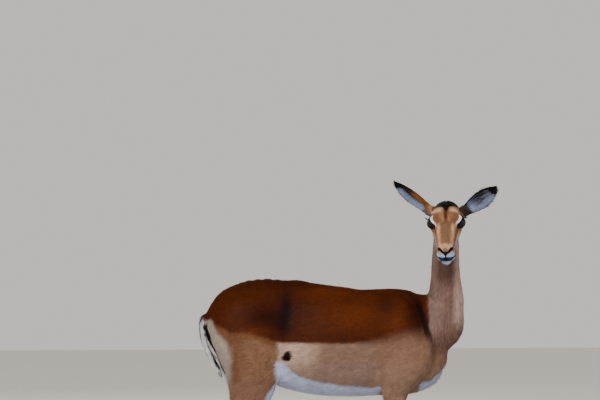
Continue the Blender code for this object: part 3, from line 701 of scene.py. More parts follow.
def body_colour(p, n):
    x, y, z = p.T
    side = np.where(y > 0, 1.0, -1.0)
    outward = n[:, 1] * side
    # the saddle: deep mahogany, with painted highlights where it swells toward the light and painted shade, near
    # black, in the flank's hollow; darker along the spine, partly its own colour and partly painted shade
    level = np.ones(len(p))
    for across, high, half, tall, gain in SADDLE_LIGHT_AND_SHADE:
        level += gain * np.exp(-((x - across) / half) ** 2 - ((z - high) / tall) ** 2)
    level = np.clip(level, 0.10, 2.0) * (1 - 0.20 * rise(z, 0.835, 0.862))
    back = SADDLE * np.stack([level, level ** 1.25, level ** 1.5], 1)
    # the flank pale tan, browner toward the elbow and the belly; thigh and shoulder brown
    flank = blend(np.tile(FLANK, (len(p), 1)), FLANK * tone(0.50, 0.44, 0.42), rise(x, -0.120, -0.030))
    flank = blend(flank, tone(0.235, 0.155, 0.125), rise(-z, -0.625, -0.560) * 0.8)
    thigh_edge = along_curve(z, THIGH_EDGE) + np.where(y > 0, LEFT_HIND_STEP, 0.0) * np.clip((0.58 - z) / 0.5, 0, 1)
    haunch = 1 - rise(x - thigh_edge, -0.006, 0.006)
    thigh = blend(np.tile(THIGH_TAN, (len(p), 1)), THIGH_TAN * tone(0.72, 0.62, 0.52), rise(-x, 0.300, 0.345))
    thigh = blend(thigh, THIGH_TAN * tone(0.95, 0.98, 1.10), rise(-z, -0.58, -0.50))
    thigh = blend(thigh, THIGH_TAN * tone(0.70, 0.55, 0.40), rise(z - along_curve(x, SADDLE_EDGE), -0.030, -0.004))
    flank = blend(flank, thigh, haunch)
    # painted shade in the crease down the front edge of the thigh
    flank *= (1 - 0.45 * bell(x, -0.200, 0.007, 0.005) * bell(z, 0.640, 0.040, 0.02))[:, None]
    shoulder = rise(x, 0.105, 0.170)
    tan = blend(np.tile(SHOULDER, (len(p), 1)), SHOULDER * tone(1.05, 1.15, 1.25), rise(-z, -0.64, -0.56))
    flank = blend(flank, tan, shoulder)
    soft = np.interp(x, (0.06, 0.20), (0.007, 0.034))
    edge = (z - along_curve(x, SADDLE_EDGE)) / soft
    colour = blend(flank, back, rise(edge, -1, 1))
    # belly and brisket white, painted bluish grey as the shade under the body, but not the legs that stand before
    # them
    fore = leg_reach(x, z, FORELEG + UPPER_ARM[1:-1][::-1], np.where(side > 0, LEFT_FORE_STEP, 0.0))
    limb = (1 - rise(np.abs(fore), 1.0, 1.25)) * rise(x, 0.08, 0.12)
    limb = np.maximum(limb, haunch * rise(-x, 0.10, 0.14)) * rise(outward, -0.30, 0.20)
    belly = (1 - rise(z - along_curve(x, BELLY_EDGE), -0.004, 0.007)) * (1 - limb)
    belly *= (z > 0.30) * (1 - rise(-z, -0.44, -0.40))
    colour = blend(colour, WHITE * tone(0.56, 0.64, 0.88), belly)
    # inside of the thighs and forearms, and the black spot before the thigh
    inner = rise(-outward, 0.10, 0.45)
    colour = blend(colour, WHITE * 0.88, inner * rise(-z, -0.62, -0.56) * (np.abs(y) > 0.012))
    spot = np.hypot((x + 0.1660 - 0.25 * (z - 0.622)) / 0.0170, (z - 0.6215) / 0.0178)
    spot += 0.06 * np.sin(3 * np.arctan2(z - 0.6215, x + 0.166) + 0.6)
    colour = blend(colour, BLACK, (1 - rise(spot, 0.85, 1.15)) * (outward > 0.05))
    # neck: greyish fawn, paler in front, darker under the chin (partly its own colour, partly painted shadow of the
    # head), streaked downward, with a sharp line at the shoulder and painted shade in the hollow before it
    neck = np.maximum(rise(x, 0.311, 0.320) * rise(z, 0.60, 0.66), rise(z, 0.868, 0.900))
    shade = blend(np.tile(NECK_MID * tone(1.12, 1.18, 1.20), (len(p), 1)), NECK_MID, rise(x, 0.345, 0.372))
    shade = blend(shade, NECK_PALE * np.interp(z, (0.72, 0.76, 0.82, 0.88), (1.10, 1.30, 1.50, 1.25))[:, None],
            rise(x, 0.388, 0.412) * rise(z, 0.69, 0.76) * rise(-n[:, 1], -0.5, 0.1))
    # darker under the chin: partly its own colour, partly painted shadow of the head
    shade = blend(shade, NECK_MID * tone(0.44, 0.40, 0.36), bell(x, 0.367, 0.027, 0.012) * rise(z, 0.83, 0.90))
    shade = blend(shade, NECK_MID * tone(0.76, 0.68, 0.62), (1 - rise(z, 0.66, 0.74)) * rise(-n[:, 1], -0.1, 0.3))
    shade = blend(shade, tone(0.15, 0.070, 0.040), rise(n[:, 1], 0.15, 0.55) * rise(z, 0.72, 0.80))
    streak = np.sin(x * 830 + 2.2 * np.sin(z * 31) + 3 * np.sin(y * 90)) * np.sin(x * 310 + y * 500 + z * 14 + 2
            * np.sin(z * 53 + x * 70))
    colour = blend(colour, shade * (1 + 0.16 * streak[:, None]), neck * (1 - belly))
    # painted shade in the hollow between shoulder and neck
    neck_hollow_shade = bell(x, np.interp(z, (0.684, 0.714, 0.755, 0.796), (0.3118, 0.3040, 0.2928, 0.2816)), 0.0120, 0.007)
    colour = colour * (1 - 0.88 * neck_hollow_shade * bell(z, 0.742, 0.062, 0.022) * (outward > 0.1))[:, None]
    # rump: white about the tail, a black line down each buttock, pale grey outside it
    rear = rise(-x, 0.340, 0.368) * rise(-n[:, 0], -0.15, 0.15) * (1 - rise(z, 0.742, 0.756)) * rise(z, 0.49, 0.56)
    off = np.abs(y) - along_curve(z, STRIPE_PATH)
    colour = blend(colour, WHITE * tone(0.80, 0.80, 0.84), rear * (1 - rise(off, 0.006, 0.012)))
    fade = np.interp(z, (0.56, 0.68, 0.74), (0.046, 0.056, 0.039))
    colour = blend(colour, GREY * np.interp(z, (0.56, 0.68), (0.72, 1.0))[:, None],
            rear * rise(off, 0.004, 0.010) * (1 - rise(off, fade - 0.018, fade)))
    width = np.interp(z, (0.56, 0.60, 0.74), (0.0060, 0.0070, 0.0086))
    stripe = (1 - rise(np.abs(off), width * 0.85, width * 1.15)) * rise(z, 0.560, 0.575)
    colour = blend(colour, BLACK, rise(-x, 0.345, 0.365) * rise(-n[:, 0], -0.20, 0.05) * stripe
            * (1 - rise(z, 0.745, 0.755)))
    # legs: tan outside, pale inside, a dark front to the shanks, black tufts over the hind fetlocks
    low = rise(-z, -0.50, -0.42)
    shank = blend(np.tile(LEG_TAN, (len(p), 1)), WHITE * 0.85, inner)
    shank = blend(shank, LEG_TAN * tone(0.62, 0.55, 0.5), rise(n[:, 0], 0.35, 0.8) * rise(z, 0.10, 0.16) * 0.7)
    shank = blend(shank, LEG_TAN * tone(1.15, 1.3, 1.5), rise(-z, -0.12, -0.06) * 0.7)
    colour = blend(colour, shank, low)
    gland = (1 - rise(np.abs(z - 0.150), 0.030, 0.040)) * rise(-x, 0.20, 0.22) * rise(-n[:, 0], 0.10, 0.40)
    colour = blend(colour, BLACK, gland)
    colour = blend(colour, BLACK * 3, 1 - rise(z, 0.030, 0.036))
    # tail: white with a black line down its back, brown at the root
    tail, share = tail_place(p)
    hair = blend(np.tile(WHITE * tone(0.92, 0.92, 0.96), (len(p), 1)), SADDLE, 1 - rise(share, 0.04, 0.12))
    line = (1 - rise(np.abs(y), 0.006, 0.009)) * rise(-n[:, 0], 0.1, 0.4) * rise(share, 0.02, 0.10)
    rows = np.array(TAIL)[::-1]
    limit = np.interp(share, (0.08, 0.25, 0.45, 0.90), (0.0, 0.0, 0.0022, 0.0014))
    inner = rise(x - np.interp(z, rows[:, 2], rows[:, 0]) - limit, -0.0010, 0.0015) * rise(share, 0.08,
            0.14) * (1 - rise(share, 0.84, 0.94)) * (np.abs(y) > 0.004)
    return blend(colour, blend(hair, BLACK, np.maximum(inner, line * (1 - rise(share, 0.30, 0.48)))), tail)


def face_colour(p, n):
    """Forehead, bridge, cheeks and throat, in the head's own axes."""
    s, f, u = HEAD_AXES @ (p - HEAD_AT).T
    wide = np.abs(s)
    top = rise(HEAD_AXES[2] @ n.T, 0.10, 0.45)
    colour = np.tile(tone(0.215, 0.088, 0.034), (len(p), 1))
    # lit lumps under the crown, a red-brown line between them, greyish smudges by the brows
    lump = np.exp(-((wide - 0.0180) / 0.0100) ** 2 - ((f - 0.004) / 0.020) ** 2)
    colour = blend(colour, tone(0.330, 0.155, 0.070), top * lump * 0.85)
    lump = np.exp(-((wide - 0.0310) / 0.0185) ** 4 - ((f + 0.0215 + 0.35 * (wide - 0.0145)) / 0.0115) ** 2)
    colour = blend(colour, tone(0.70, 0.450, 0.310), top * lump * 0.9)
    colour = blend(colour, tone(0.36, 0.185, 0.110),
            top * bell(f, 0.022, 0.014, 0.010) * bell(wide, 0.010, 0.005, 0.004))
    smudge = np.exp(-((wide - 0.0290) / 0.0060) ** 2 - ((f - 0.020) / 0.020) ** 2)
    colour = blend(colour, tone(0.150, 0.082, 0.040), top * smudge * 0.75)
    middle = top * rise(f, -0.034, -0.020) * (1 - rise(f, 0.014, 0.050)) * (1 - rise(wide, 0.0020, 0.0100))
    colour = blend(colour, tone(0.085, 0.024, 0.010), middle * 0.95)
    # the bridge greyish brown, orange stripes beside it, then a dark brown line; grey cheeks
    bridge, nose = rise(f, 0.030, 0.058), rise(f, 0.128, 0.140)
    colour = blend(colour, tone(0.200, 0.108, 0.062), bridge * (1 - nose) * (1 - rise(wide, 0.009, 0.017)))
    stripe = np.exp(-((wide - np.interp(f, (0.03, 0.13), (0.0255, 0.0205))) / 0.0062) ** 2)
    pale = tone(0.60, 0.345, 0.200) * np.interp(f, (0.035, 0.060, 0.085, 0.130), (1.0, 1.22, 0.92, 0.80))[:, None]
    colour = blend(colour, pale, rise(f, 0.026, 0.048) * (1 - nose) * stripe * (u > -0.03))
    outer = np.interp(f, (0.02, 0.05, 0.09, 0.135), (0.0375, 0.0335, 0.0295, 0.0260))
    dark = rise(wide, outer - 0.0030, outer + 0.0010) * (1 - rise(-u, 0.012, 0.026)) * rise(f, 0.020, 0.032)
    colour = blend(colour, tone(0.240, 0.095, 0.040), dark * (1 - nose))
    cheek = rise(-u - 0.10 * np.clip(f, 0, 1), 0.014, 0.026) * rise(wide, 0.018, 0.028)
    colour = blend(colour, tone(0.40, 0.270, 0.215), cheek)
    colour = blend(colour, WHITE * 0.70, rise(-u, 0.040, 0.056) * rise(f, -0.03, 0.03))
    # painted shade under the jaw
    colour = blend(colour, NECK_MID * 0.55, (1 - rise(f, -0.06, 0.02)) * rise(-u, 0.03, 0.05))
    colour = blend(colour, NECK_MID * tone(1.0, 0.85, 0.72), rise(-f, 0.085, 0.105) * (1 - rise(u, 0.020, 0.050)))
    # light nose with painted highlights on its wings, white lips and chin painted bluish grey as shade
    front = rise(f, 0.126, 0.138)
    colour = blend(colour, tone(0.56, 0.310, 0.175), front * (1 - rise(wide, 0.020, 0.027)) * (u > -0.030))
    colour = blend(colour, tone(0.52, 0.37, 0.27),
            front * (1 - rise(np.hypot(wide - 0.0205, u - 0.0040), 0.0025, 0.0055)))
    white = np.maximum(front * rise(-u, 0.0175, 0.0225), rise(f, 0.080, 0.105) * rise(-u, 0.038, 0.046))
    colour = blend(colour, WHITE * tone(0.52, 0.62, 0.86), white)
    colour = blend(colour, tone(0.30, 0.215, 0.165), white * rise(wide, 0.0245, 0.0300))
    colour = blend(colour, tone(0.20, 0.125, 0.080),
            front * (1 - rise(wide, 0.006, 0.012)) * bell(u, -0.0080, 0.0065, 0.004))
    # black nostrils in a V, the split of the upper lip and the dark mouth
    rows = curve_through([(s_, u_, r) for s_, f_, u_, r in NOSTRIL], 8)
    gap = np.hypot(wide[:, None] - rows[None, :, 0], u[:, None] - rows[None, :, 1])
    nearest = gap.argmin(1)
    colour = blend(colour, BLACK, front
            * (1 - rise(gap.min(1) - rows[nearest, 2] * 1.10 - 0.0010, -0.0003, 0.0014)) * rise(-u, 0.0002, 0.0022))
    wedge = (1 - rise(wide - np.interp(u, (-0.0300, -0.0120), (0.0014, 0.0110)), -0.0006, 0.0010)) * bell(u,
            -0.0200, 0.0085, 0.001)
    split = (1 - rise(wide, 0.0014, 0.0028)) * bell(u, -0.036, 0.016, 0.002)
    colour = blend(colour, BLACK, front * np.maximum(wedge, split))
    level = np.interp(wide, (0, 0.012, 0.020, 0.026), (-0.0478, -0.0452, -0.0405, -0.0380))
    thick = np.interp(wide, (0, 0.006, 0.012, 0.020, 0.026), (0.0145, 0.0138, 0.0112, 0.0062, 0.0020))
    colour = blend(colour, blend(np.tile(tone(0.002, 0.005, 0.016), (len(p), 1)), tone(0.018, 0.032, 0.070),
            rise(wide, 0.003, 0.012)), (1 - rise(np.abs(u - level) - thick, -0.0004,
            0.0016)) * rise(f, 0.104, 0.116))
    rows = np.array(MOUTH)
    line = (1 - rise(np.abs(u - np.interp(f, rows[::-1, 1], rows[::-1, 2])), 0.0015, 0.0032)) * bell(f, 0.104,
            0.018, 0.004)
    colour = blend(colour, BLACK, line * rise(wide, 0.012, 0.018))
    # crown: a black crescent with a point down the forehead, and a thin dark line from its end to each eye
    limit = -0.0335 - 9.0 * wide ** 2 - 3000.0 * wide ** 4
    crescent = rise(limit - f, -0.001,
            0.003) * (1 - rise(-f, 0.088, 0.100)) * (1 - rise(wide, 0.039, 0.044)) * (u > 0.0)
    point = (1 - rise(wide - np.interp(f, (-0.040, -0.030, -0.010), (0.0200, 0.0085, 0.0)), -0.001,
            0.002)) * bell(f, -0.03, 0.020, 0.002)
    colour = blend(colour, BLACK, np.maximum(crescent, point * top))
    fringe = rise(wide, 0.036, 0.041) * bell(f, -0.070, 0.026, 0.010) * (u > -0.02)
    colour = blend(colour, tone(0.42, 0.215, 0.115), fringe)
    for side in (-1, 1):
        path = [on_head(side * 0.036, -0.060, 0.032), on_head(side * 0.044, -0.040, 0.028),
                on_head(side * 0.054, -0.020, 0.022), on_head(side * 0.062, -0.008, 0.014)]
        reach, share = curve_reach(p, path, 0.02)
        colour = blend(colour, BLACK * 4, (1 - rise(reach, 0.0024, 0.0046)) * 0.92)
    # painted shade on the fur at the foot of each ear
    for side, shade in ((1, tone(0.012, 0.010, 0.012)), (-1, tone(0.130, 0.120, 0.145))):
        share, across, out = ear_place(p, side)
        foot_shade = bell(share, 0.03 if side > 0 else 0.08, 0.15,
                0.04) * (1 - rise(np.abs(across), 0.022, 0.030)) * rise(out, -0.012, 0.0) * (out < 0.05)
        colour = blend(colour, shade, foot_shade
                * rise(-across * side, -0.030 if side > 0 else -0.015, -0.020 if side > 0 else -0.008) * 0.95)
    # eyes: black lids, a white bar slanting over them, a white spot before and pale skin under them
    for side in (-1, 1):
        along, over, out = eye_axes(side) @ (p - eye_centre(side)).T
        reach = np.sqrt(along ** 2 + over ** 2 + out ** 2)
        colour = blend(colour, tone(0.120, 0.092, 0.080),
                (1 - rise(reach, 0.0265, 0.0310)) * rise(-over, 0.006, 0.011) * (out > -0.006))
        bar = (1 - 0.40 * rise(along, 0.008, 0.024)) * bell(over + 0.06 * along, 0.0184, 0.0035,
                0.0013) * bell(along, 0.0100, 0.0240, 0.004) * (reach < 0.040)
        colour = blend(colour, WHITE * tone(1.04, 1.06, 1.22), bar * rise(out, -0.010, -0.004))
        opening = np.hypot(along / LID_ALONG, over / LID_OVER)
        shell = (reach < 0.0245) & (out > -0.002)
        brim = np.where(over > 0, 1.36, 1.16)
        colour = blend(colour, BLACK, (1 - rise(opening - brim, 0.0, 0.12)) * shell)
        patch = np.hypot((along - 0.0060) / 0.0250, (over - 0.0015) / 0.0125)
        colour = blend(colour, BLACK, (1 - rise(patch, 0.90, 1.02)) * (out > -0.004) * (reach < 0.036))
        tear = bell(along, 0.0205, 0.0060, 0.002) * (1 - rise(np.abs(over - 0.0010), 0.0042, 0.0060))
        lash = bell(along, -0.016, 0.010, 0.002) * bell(over, 0.0125, 0.0026, 0.001)
        colour = blend(colour, BLACK * 3, np.maximum(tear, lash) * (out > -0.004) * (reach < 0.032))
    return colour


def ear_colour(p, n, side):
    """Orange-brown back; black tip and leading rim; pale blue-grey hair inside about a dark mottled middle."""
    share, across, out = ear_place(p, side)
    rows = np.array(EAR)
    rim = np.interp(share, rows[:, 0], rows[:, 1])
    lead = across * side / np.maximum(rim, 0.001)
    deep = out - np.interp(share, rows[:, 0], rows[:, 4])
    inside = rise(n @ ear_front(side), -0.05, 0.20) * (share > 0.12)
    colour = blend(np.tile(tone(0.175, 0.062, 0.019), (len(p), 1)), tone(0.020, 0.009, 0.008),
            rise(share, 0.42, 0.64))
    back = colour.copy()
    # painted shade at the foot of the ear: near black on the left, grey-blue on the right
    facing = rise(n @ ear_front(side), -0.45, 0.05)
    foot_shade = (1 - (rise(share, 0.18, 0.30) if side > 0 else rise(share, 0.22, 0.36))) * np.where(side > 0, 1.0,
            rise(-lead, -0.6, -0.3))
    colour = blend(colour, tone(0.012, 0.010, 0.012) if side > 0 else tone(0.110, 0.105, 0.130), foot_shade * facing * 0.95)
    near_edge = rise(np.abs(across) / np.maximum(rim, 0.001), 0.40, 0.78)
    pale = np.maximum(near_edge * (1 - 0.6 * rise(lead, 0.2, 0.7)), 1 - rise(share, 0.24, 0.38))
    hair = blend(np.tile(tone(0.105, 0.105, 0.145), (len(p), 1)), tone(0.200, 0.245, 0.375), pale)
    strand = np.sin(lead * 13 + 1.8 * np.sin(share * 11 + 0.7) + 0.8 * np.sin(share * 37)) * bell(share, 0.48, 0.30,
            0.10)
    dark = np.exp(-((share - 0.53) / 0.19) ** 2
            - ((lead - 0.42) / 0.42) ** 2) + 0.85 * np.exp(-((share - 0.47) / 0.12) ** 2 - ((lead
            + 0.28) / 0.16) ** 2)
    hair = blend(hair, tone(0.190, 0.235, 0.360), rise(strand, 0.10, 0.90) * 0.55)
    hair = blend(hair, tone(0.022, 0.018, 0.026), np.clip(dark * (1.15 - 0.35 * strand), 0, 0.95) * (share < 0.8))
    colour = blend(colour, hair, inside * (1 if side < 0 else rise(share, 0.10, 0.18)))
    edge = rise(lead, 0.72, 0.84) * rise(deep, -0.016, -0.008) * rise(share, 0.03, 0.10)
    if side < 0:
        # the fore edge rolls over, so its orange back shows in front behind a thin black line
        roll = lead - np.interp(share, (0.0, 0.10, 0.25, 0.50, 0.75), (0.45, 0.40, 0.25, 0.26, 0.36))
        colour = blend(colour, back, facing * rise(roll, 0.0, 0.06))
        edge = (1 - rise(np.abs(roll), 0.09, 0.17)) * rise(n @ ear_front(side), 0.0, 0.25) * rise(share, 0.28, 0.40)
    trail = rise(-lead, 0.86, 0.95) * rise(deep, -0.006, -0.002) * bell(share, 0.45, 0.26, 0.05) * 0.8
    colour = blend(colour, BLACK, np.maximum(edge, trail))
    return blend(colour, BLACK, rise(share + 0.035 * lead, 0.765, 0.800))


def past_throat(p):
    """How far points lie past the joint of neck and head, on the head's side of it."""
    return (p - np.array((0.37, -0.100, 0.985))) @ np.array((0, -0.5, 0.866))


def region_of(p):
    """0 body and legs, 1 head, 2 right ear, 3 left ear."""
    region = np.zeros(len(p), int)
    throat = past_throat(p)
    region[(throat > 0) & (p[:, 2] > SEAM)] = 1
    for side, number in ((-1, 2), (1, 3)):
        share, across, out = ear_place(p, side)
        region[(share > 0.02) & (share < 1.2) & (np.abs(across) < 0.05) & (region > 0)] = number
    return region


def coat_colour(p, n):
    """The coat's colour at points of the skin with these normals."""
    region = region_of(p)
    colour = body_colour(p, n)
    throat = past_throat(p)
    headed = rise(throat, -0.030, 0.012) * (p[:, 2] > 0.90)
    some = headed > 0
    colour[some] = blend(colour[some], face_colour(p[some], n[some]), headed[some])
    for side, number in ((-1, 2), (1, 3)):
        mine = region == number
        share, across, out = ear_place(p[mine], side)
        colour[mine] = blend(colour[mine], ear_colour(p[mine], n[mine], side), rise(share, 0.04, 0.14))
    return np.clip(colour, 0.001, 1)


def lie_of_hair(p, n):
    """The way the hair's tips point along the skin."""
    x, y, z = p.T
    s, f, u = HEAD_AXES @ (p - HEAD_AT).T
    body = np.stack([-np.ones(len(p)), 0 * x, -0.30 - 0.9 * rise(-x, 0.28, 0.40)], 1)
    leg = np.stack([-0.12 + 0 * x, 0 * x, -np.ones(len(p))], 1)
    neck = np.stack([-0.25 + 0 * x, 0.10 + 0 * x, -np.ones(len(p))], 1)
    way = blend(body, leg, rise(-z, -0.56, -0.44))
    shoulder = rise(x, 0.20, 0.34)
    way = blend(way, neck, np.maximum(shoulder * rise(z, 0.50, 0.60), rise(z, 0.86, 0.90)))
    rump = rise(-x, 0.350, 0.385) * (1 - rise(z, 0.74, 0.77)) * rise(z, 0.50, 0.56)
    way = blend(way, np.stack([0.35 + 0 * x, 0.30 * np.sign(y), -np.ones(len(p))], 1), rump)
    way = blend(way, np.array((0.25, 0, -1.0)), tail_place(p)[0])
    throat = past_throat(p)
    back = -HEAD_AXES[1]
    spread = back[None] + 0.35 * np.sign(s)[:, None] * HEAD_AXES[0][None] * rise(-f, 0.0, 0.05)[:, None]
    headed = rise(throat, -0.02, 0.03) * (z > 0.9)
    way = way + (spread - way) * headed[:, None]
    region = region_of(p)
    for side, number in ((-1, 2), (1, 3)):
        base, tip, facing = (np.array(v) for v in EARS[side])
        along = (tip - base) / np.linalg.norm(tip - base)
        mine = region == number
        share, across, out = ear_place(p[mine], side)
        rim = np.interp(share, [r[0] for r in EAR], [r[1] for r in EAR])
        fringe = rise(np.abs(across) / np.maximum(rim, 0.001), 0.70,
                0.95) * np.sign(across) * (0.7 if side > 0 else 0.2)
        fringe *= rise(share, 0.30, 0.42) * (1 - rise(share, 0.70, 0.85))
        way[mine] = along + 0.15 * ear_front(side) + fringe[:, None] * np.cross(ear_front(side), along)
    way = way - n * (way * n).sum(1)[:, None]
    return way / np.maximum(np.linalg.norm(way, axis=1), 1e-6)[:, None]


# ---- finishes ------------------------------------------------------------------------------------------
def hair_material(name, roughness, sheen, grain):
    """Hair that takes its colour from the piece's own 'coat' attribute, broken up by fine streaks."""
    made = bpy.data.materials.new(name)
    made.use_nodes = True
    nodes, links = made.node_tree.nodes, made.node_tree.links
    shader = nodes["Principled BSDF"]
    coat = nodes.new("ShaderNodeAttribute")
    coat.attribute_name = "coat"
    where = nodes.new("ShaderNodeTexCoord")
    patches = nodes.new("ShaderNodeTexNoise")
    patches.inputs["Scale"].default_value = 38.0
    patches.inputs["Detail"].default_value = 5.0
    fine = nodes.new("ShaderNodeTexNoise")
    fine.inputs["Scale"].default_value = grain
    fine.inputs["Detail"].default_value = 3.0
    links.new(where.outputs["Object"], patches.inputs["Vector"])
    links.new(where.outputs["Object"], fine.inputs["Vector"])
    both = nodes.new("ShaderNodeMath")
    both.operation = "ADD"
    links.new(patches.outputs["Fac"], both.inputs[0])
    links.new(fine.outputs["Fac"], both.inputs[1])
    value = nodes.new("ShaderNodeMapRange")
    value.inputs["From Min"].default_value = 0.6
    value.inputs["From Max"].default_value = 1.4
    value.inputs["To Min"].default_value = 0.80
    value.inputs["To Max"].default_value = 1.20
    links.new(both.outputs[0], value.inputs["Value"])
    tone = nodes.new("ShaderNodeHueSaturation")
    links.new(coat.outputs["Color"], tone.inputs["Color"])
    links.new(value.outputs["Result"], tone.inputs["Value"])
    links.new(tone.outputs["Color"], shader.inputs["Base Color"])
    bump = nodes.new("ShaderNodeBump")
    bump.inputs["Strength"].default_value = 0.25
    bump.inputs["Distance"].default_value = 0.0006
    links.new(fine.outputs["Fac"], bump.inputs["Height"])
    links.new(bump.outputs["Normal"], shader.inputs["Normal"])
    shader.inputs["Roughness"].default_value = roughness
    shader.inputs["Sheen Weight"].default_value = sheen
    shader.inputs["Sheen Roughness"].default_value = 0.5
    shader.inputs["Specular IOR Level"].default_value = 0.08
    return made


def store_colour(mesh, colours):
    layer = mesh.color_attributes.new("coat", "FLOAT_COLOR", "POINT")
    layer.data.foreach_set("color", np.hstack([colours, np.ones((len(colours), 1))]).astype(np.float32).ravel())


def vertex_normals(mesh):
    values = np.zeros(len(mesh.vertices) * 3, np.float32)
    mesh.vertex_normals.foreach_get("vector", values)
    return values.reshape(-1, 3).astype(float)


def vertex_points(mesh):
    values = np.zeros(len(mesh.vertices) * 3, np.float32)
    mesh.vertices.foreach_get("co", values)
    return values.reshape(-1, 3).astype(float)


def place(mesh, name, nodes=()):
    """Put a finished mesh into the scene as a piece of the still body."""
    mesh.transform(Matrix.Translation(Vector(HOME)))
    piece = bpy.data.objects.new(name, mesh)
    bpy.context.scene.collection.objects.link(piece)
    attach(piece, "root")
    if nodes:
        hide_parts(*nodes)
    return piece


# ---- skin: replaces every node of flesh, and lies inside them by the coat's depth ----------------------
skin_mesh = make_skin()
skin_points, skin_normals = vertex_points(skin_mesh), vertex_normals(skin_mesh)
store_colour(skin_mesh, coat_colour(skin_points, skin_normals))
skin_mesh.materials.append(hair_material("skin", 0.75, 0.03, 900.0))
legs = [f"{end}leg_{side}_{part}" for end in ("fore", "hind") for side in ("left", "right")
        for part in ("upper", "shank", "pastern")]
FLESH = ["trunk", "neck", "head", "ear_left", "ear_right", "tail"] + legs

# ---- coat: thin solid tufts along the lie of the hair, in the skin's own colours ------------------------
def unwrap(p, n):
    """A place in the unit square for each point of the skin: bands for trunk, neck, head, ears, legs and tail."""
    x, y, z = p.T
    region = region_of(p)
    around = np.arctan2(y, z - 0.67) / (2 * math.pi) + 0.5
    u, v = 0.02 + 0.55 * (x + 0.45) / 0.85, 0.02 + 0.46 * around
    upper = (x > 0.31) & (z > 0.70)
    turn = np.arctan2(y + 0.03, x - 0.372) / (2 * math.pi) + 0.5
    u, v = np.where(upper, 0.62 + 0.36 * turn, u), np.where(upper, 0.02 + 0.28 * (z - 0.70) / 0.32, v)
    s, f, w = HEAD_AXES @ (p - HEAD_AT).T
    turn = np.arctan2(s, w + 0.02) / (2 * math.pi) + 0.5
    face = region == 1
    u, v = np.where(face, 0.62 + 0.36 * turn, u), np.where(face, 0.33 + 0.26 * (f + 0.11) / 0.29, v)
    for side, number in ((-1, 2), (1, 3)):
        share, across, out = ear_place(p, side)
        mine = region == number
        half = np.where(n @ ear_front(side) > 0, 0.0, 0.09)
        u = np.where(mine, 0.64 + 0.18 * (side > 0) + half + 0.08 * (across + 0.035) / 0.07, u)
        v = np.where(mine, 0.62 + 0.14 * share, v)
    leg = (z < 0.50) & (region == 0)
    for i, (ahead, left) in enumerate(((True, True), (True, False), (False, True), (False, False))):
        rows = FORELEG if ahead else HINDLEG
        step = (LEFT_FORE_STEP if ahead else LEFT_HIND_STEP) if left else 0.0
        mine = leg & ((x > -0.05) == ahead) & ((y > 0) == left)
        middle = np.interp(z, [r[2] for r in rows[::-1]], [r[0] for r in rows[::-1]])
        turn = np.arctan2(np.abs(y) - 0.073,
                x - middle - step * np.clip((0.58 - z) / 0.5, 0, 1)) / (2 * math.pi) + 0.5
        u, v = np.where(mine, 0.02 + 0.15 * i + 0.13 * turn, u), np.where(mine, 0.52 + 0.40 * z / 0.50, v)
    tail, share = tail_place(p)
    tail = tail > 0.5
    turn = np.arctan2(y, x + 0.445) / (2 * math.pi) + 0.5
    u, v = np.where(tail, 0.64 + 0.30 * turn, u), np.where(tail, 0.80 + 0.16 * share, v)
    return np.stack([u, v], 1)


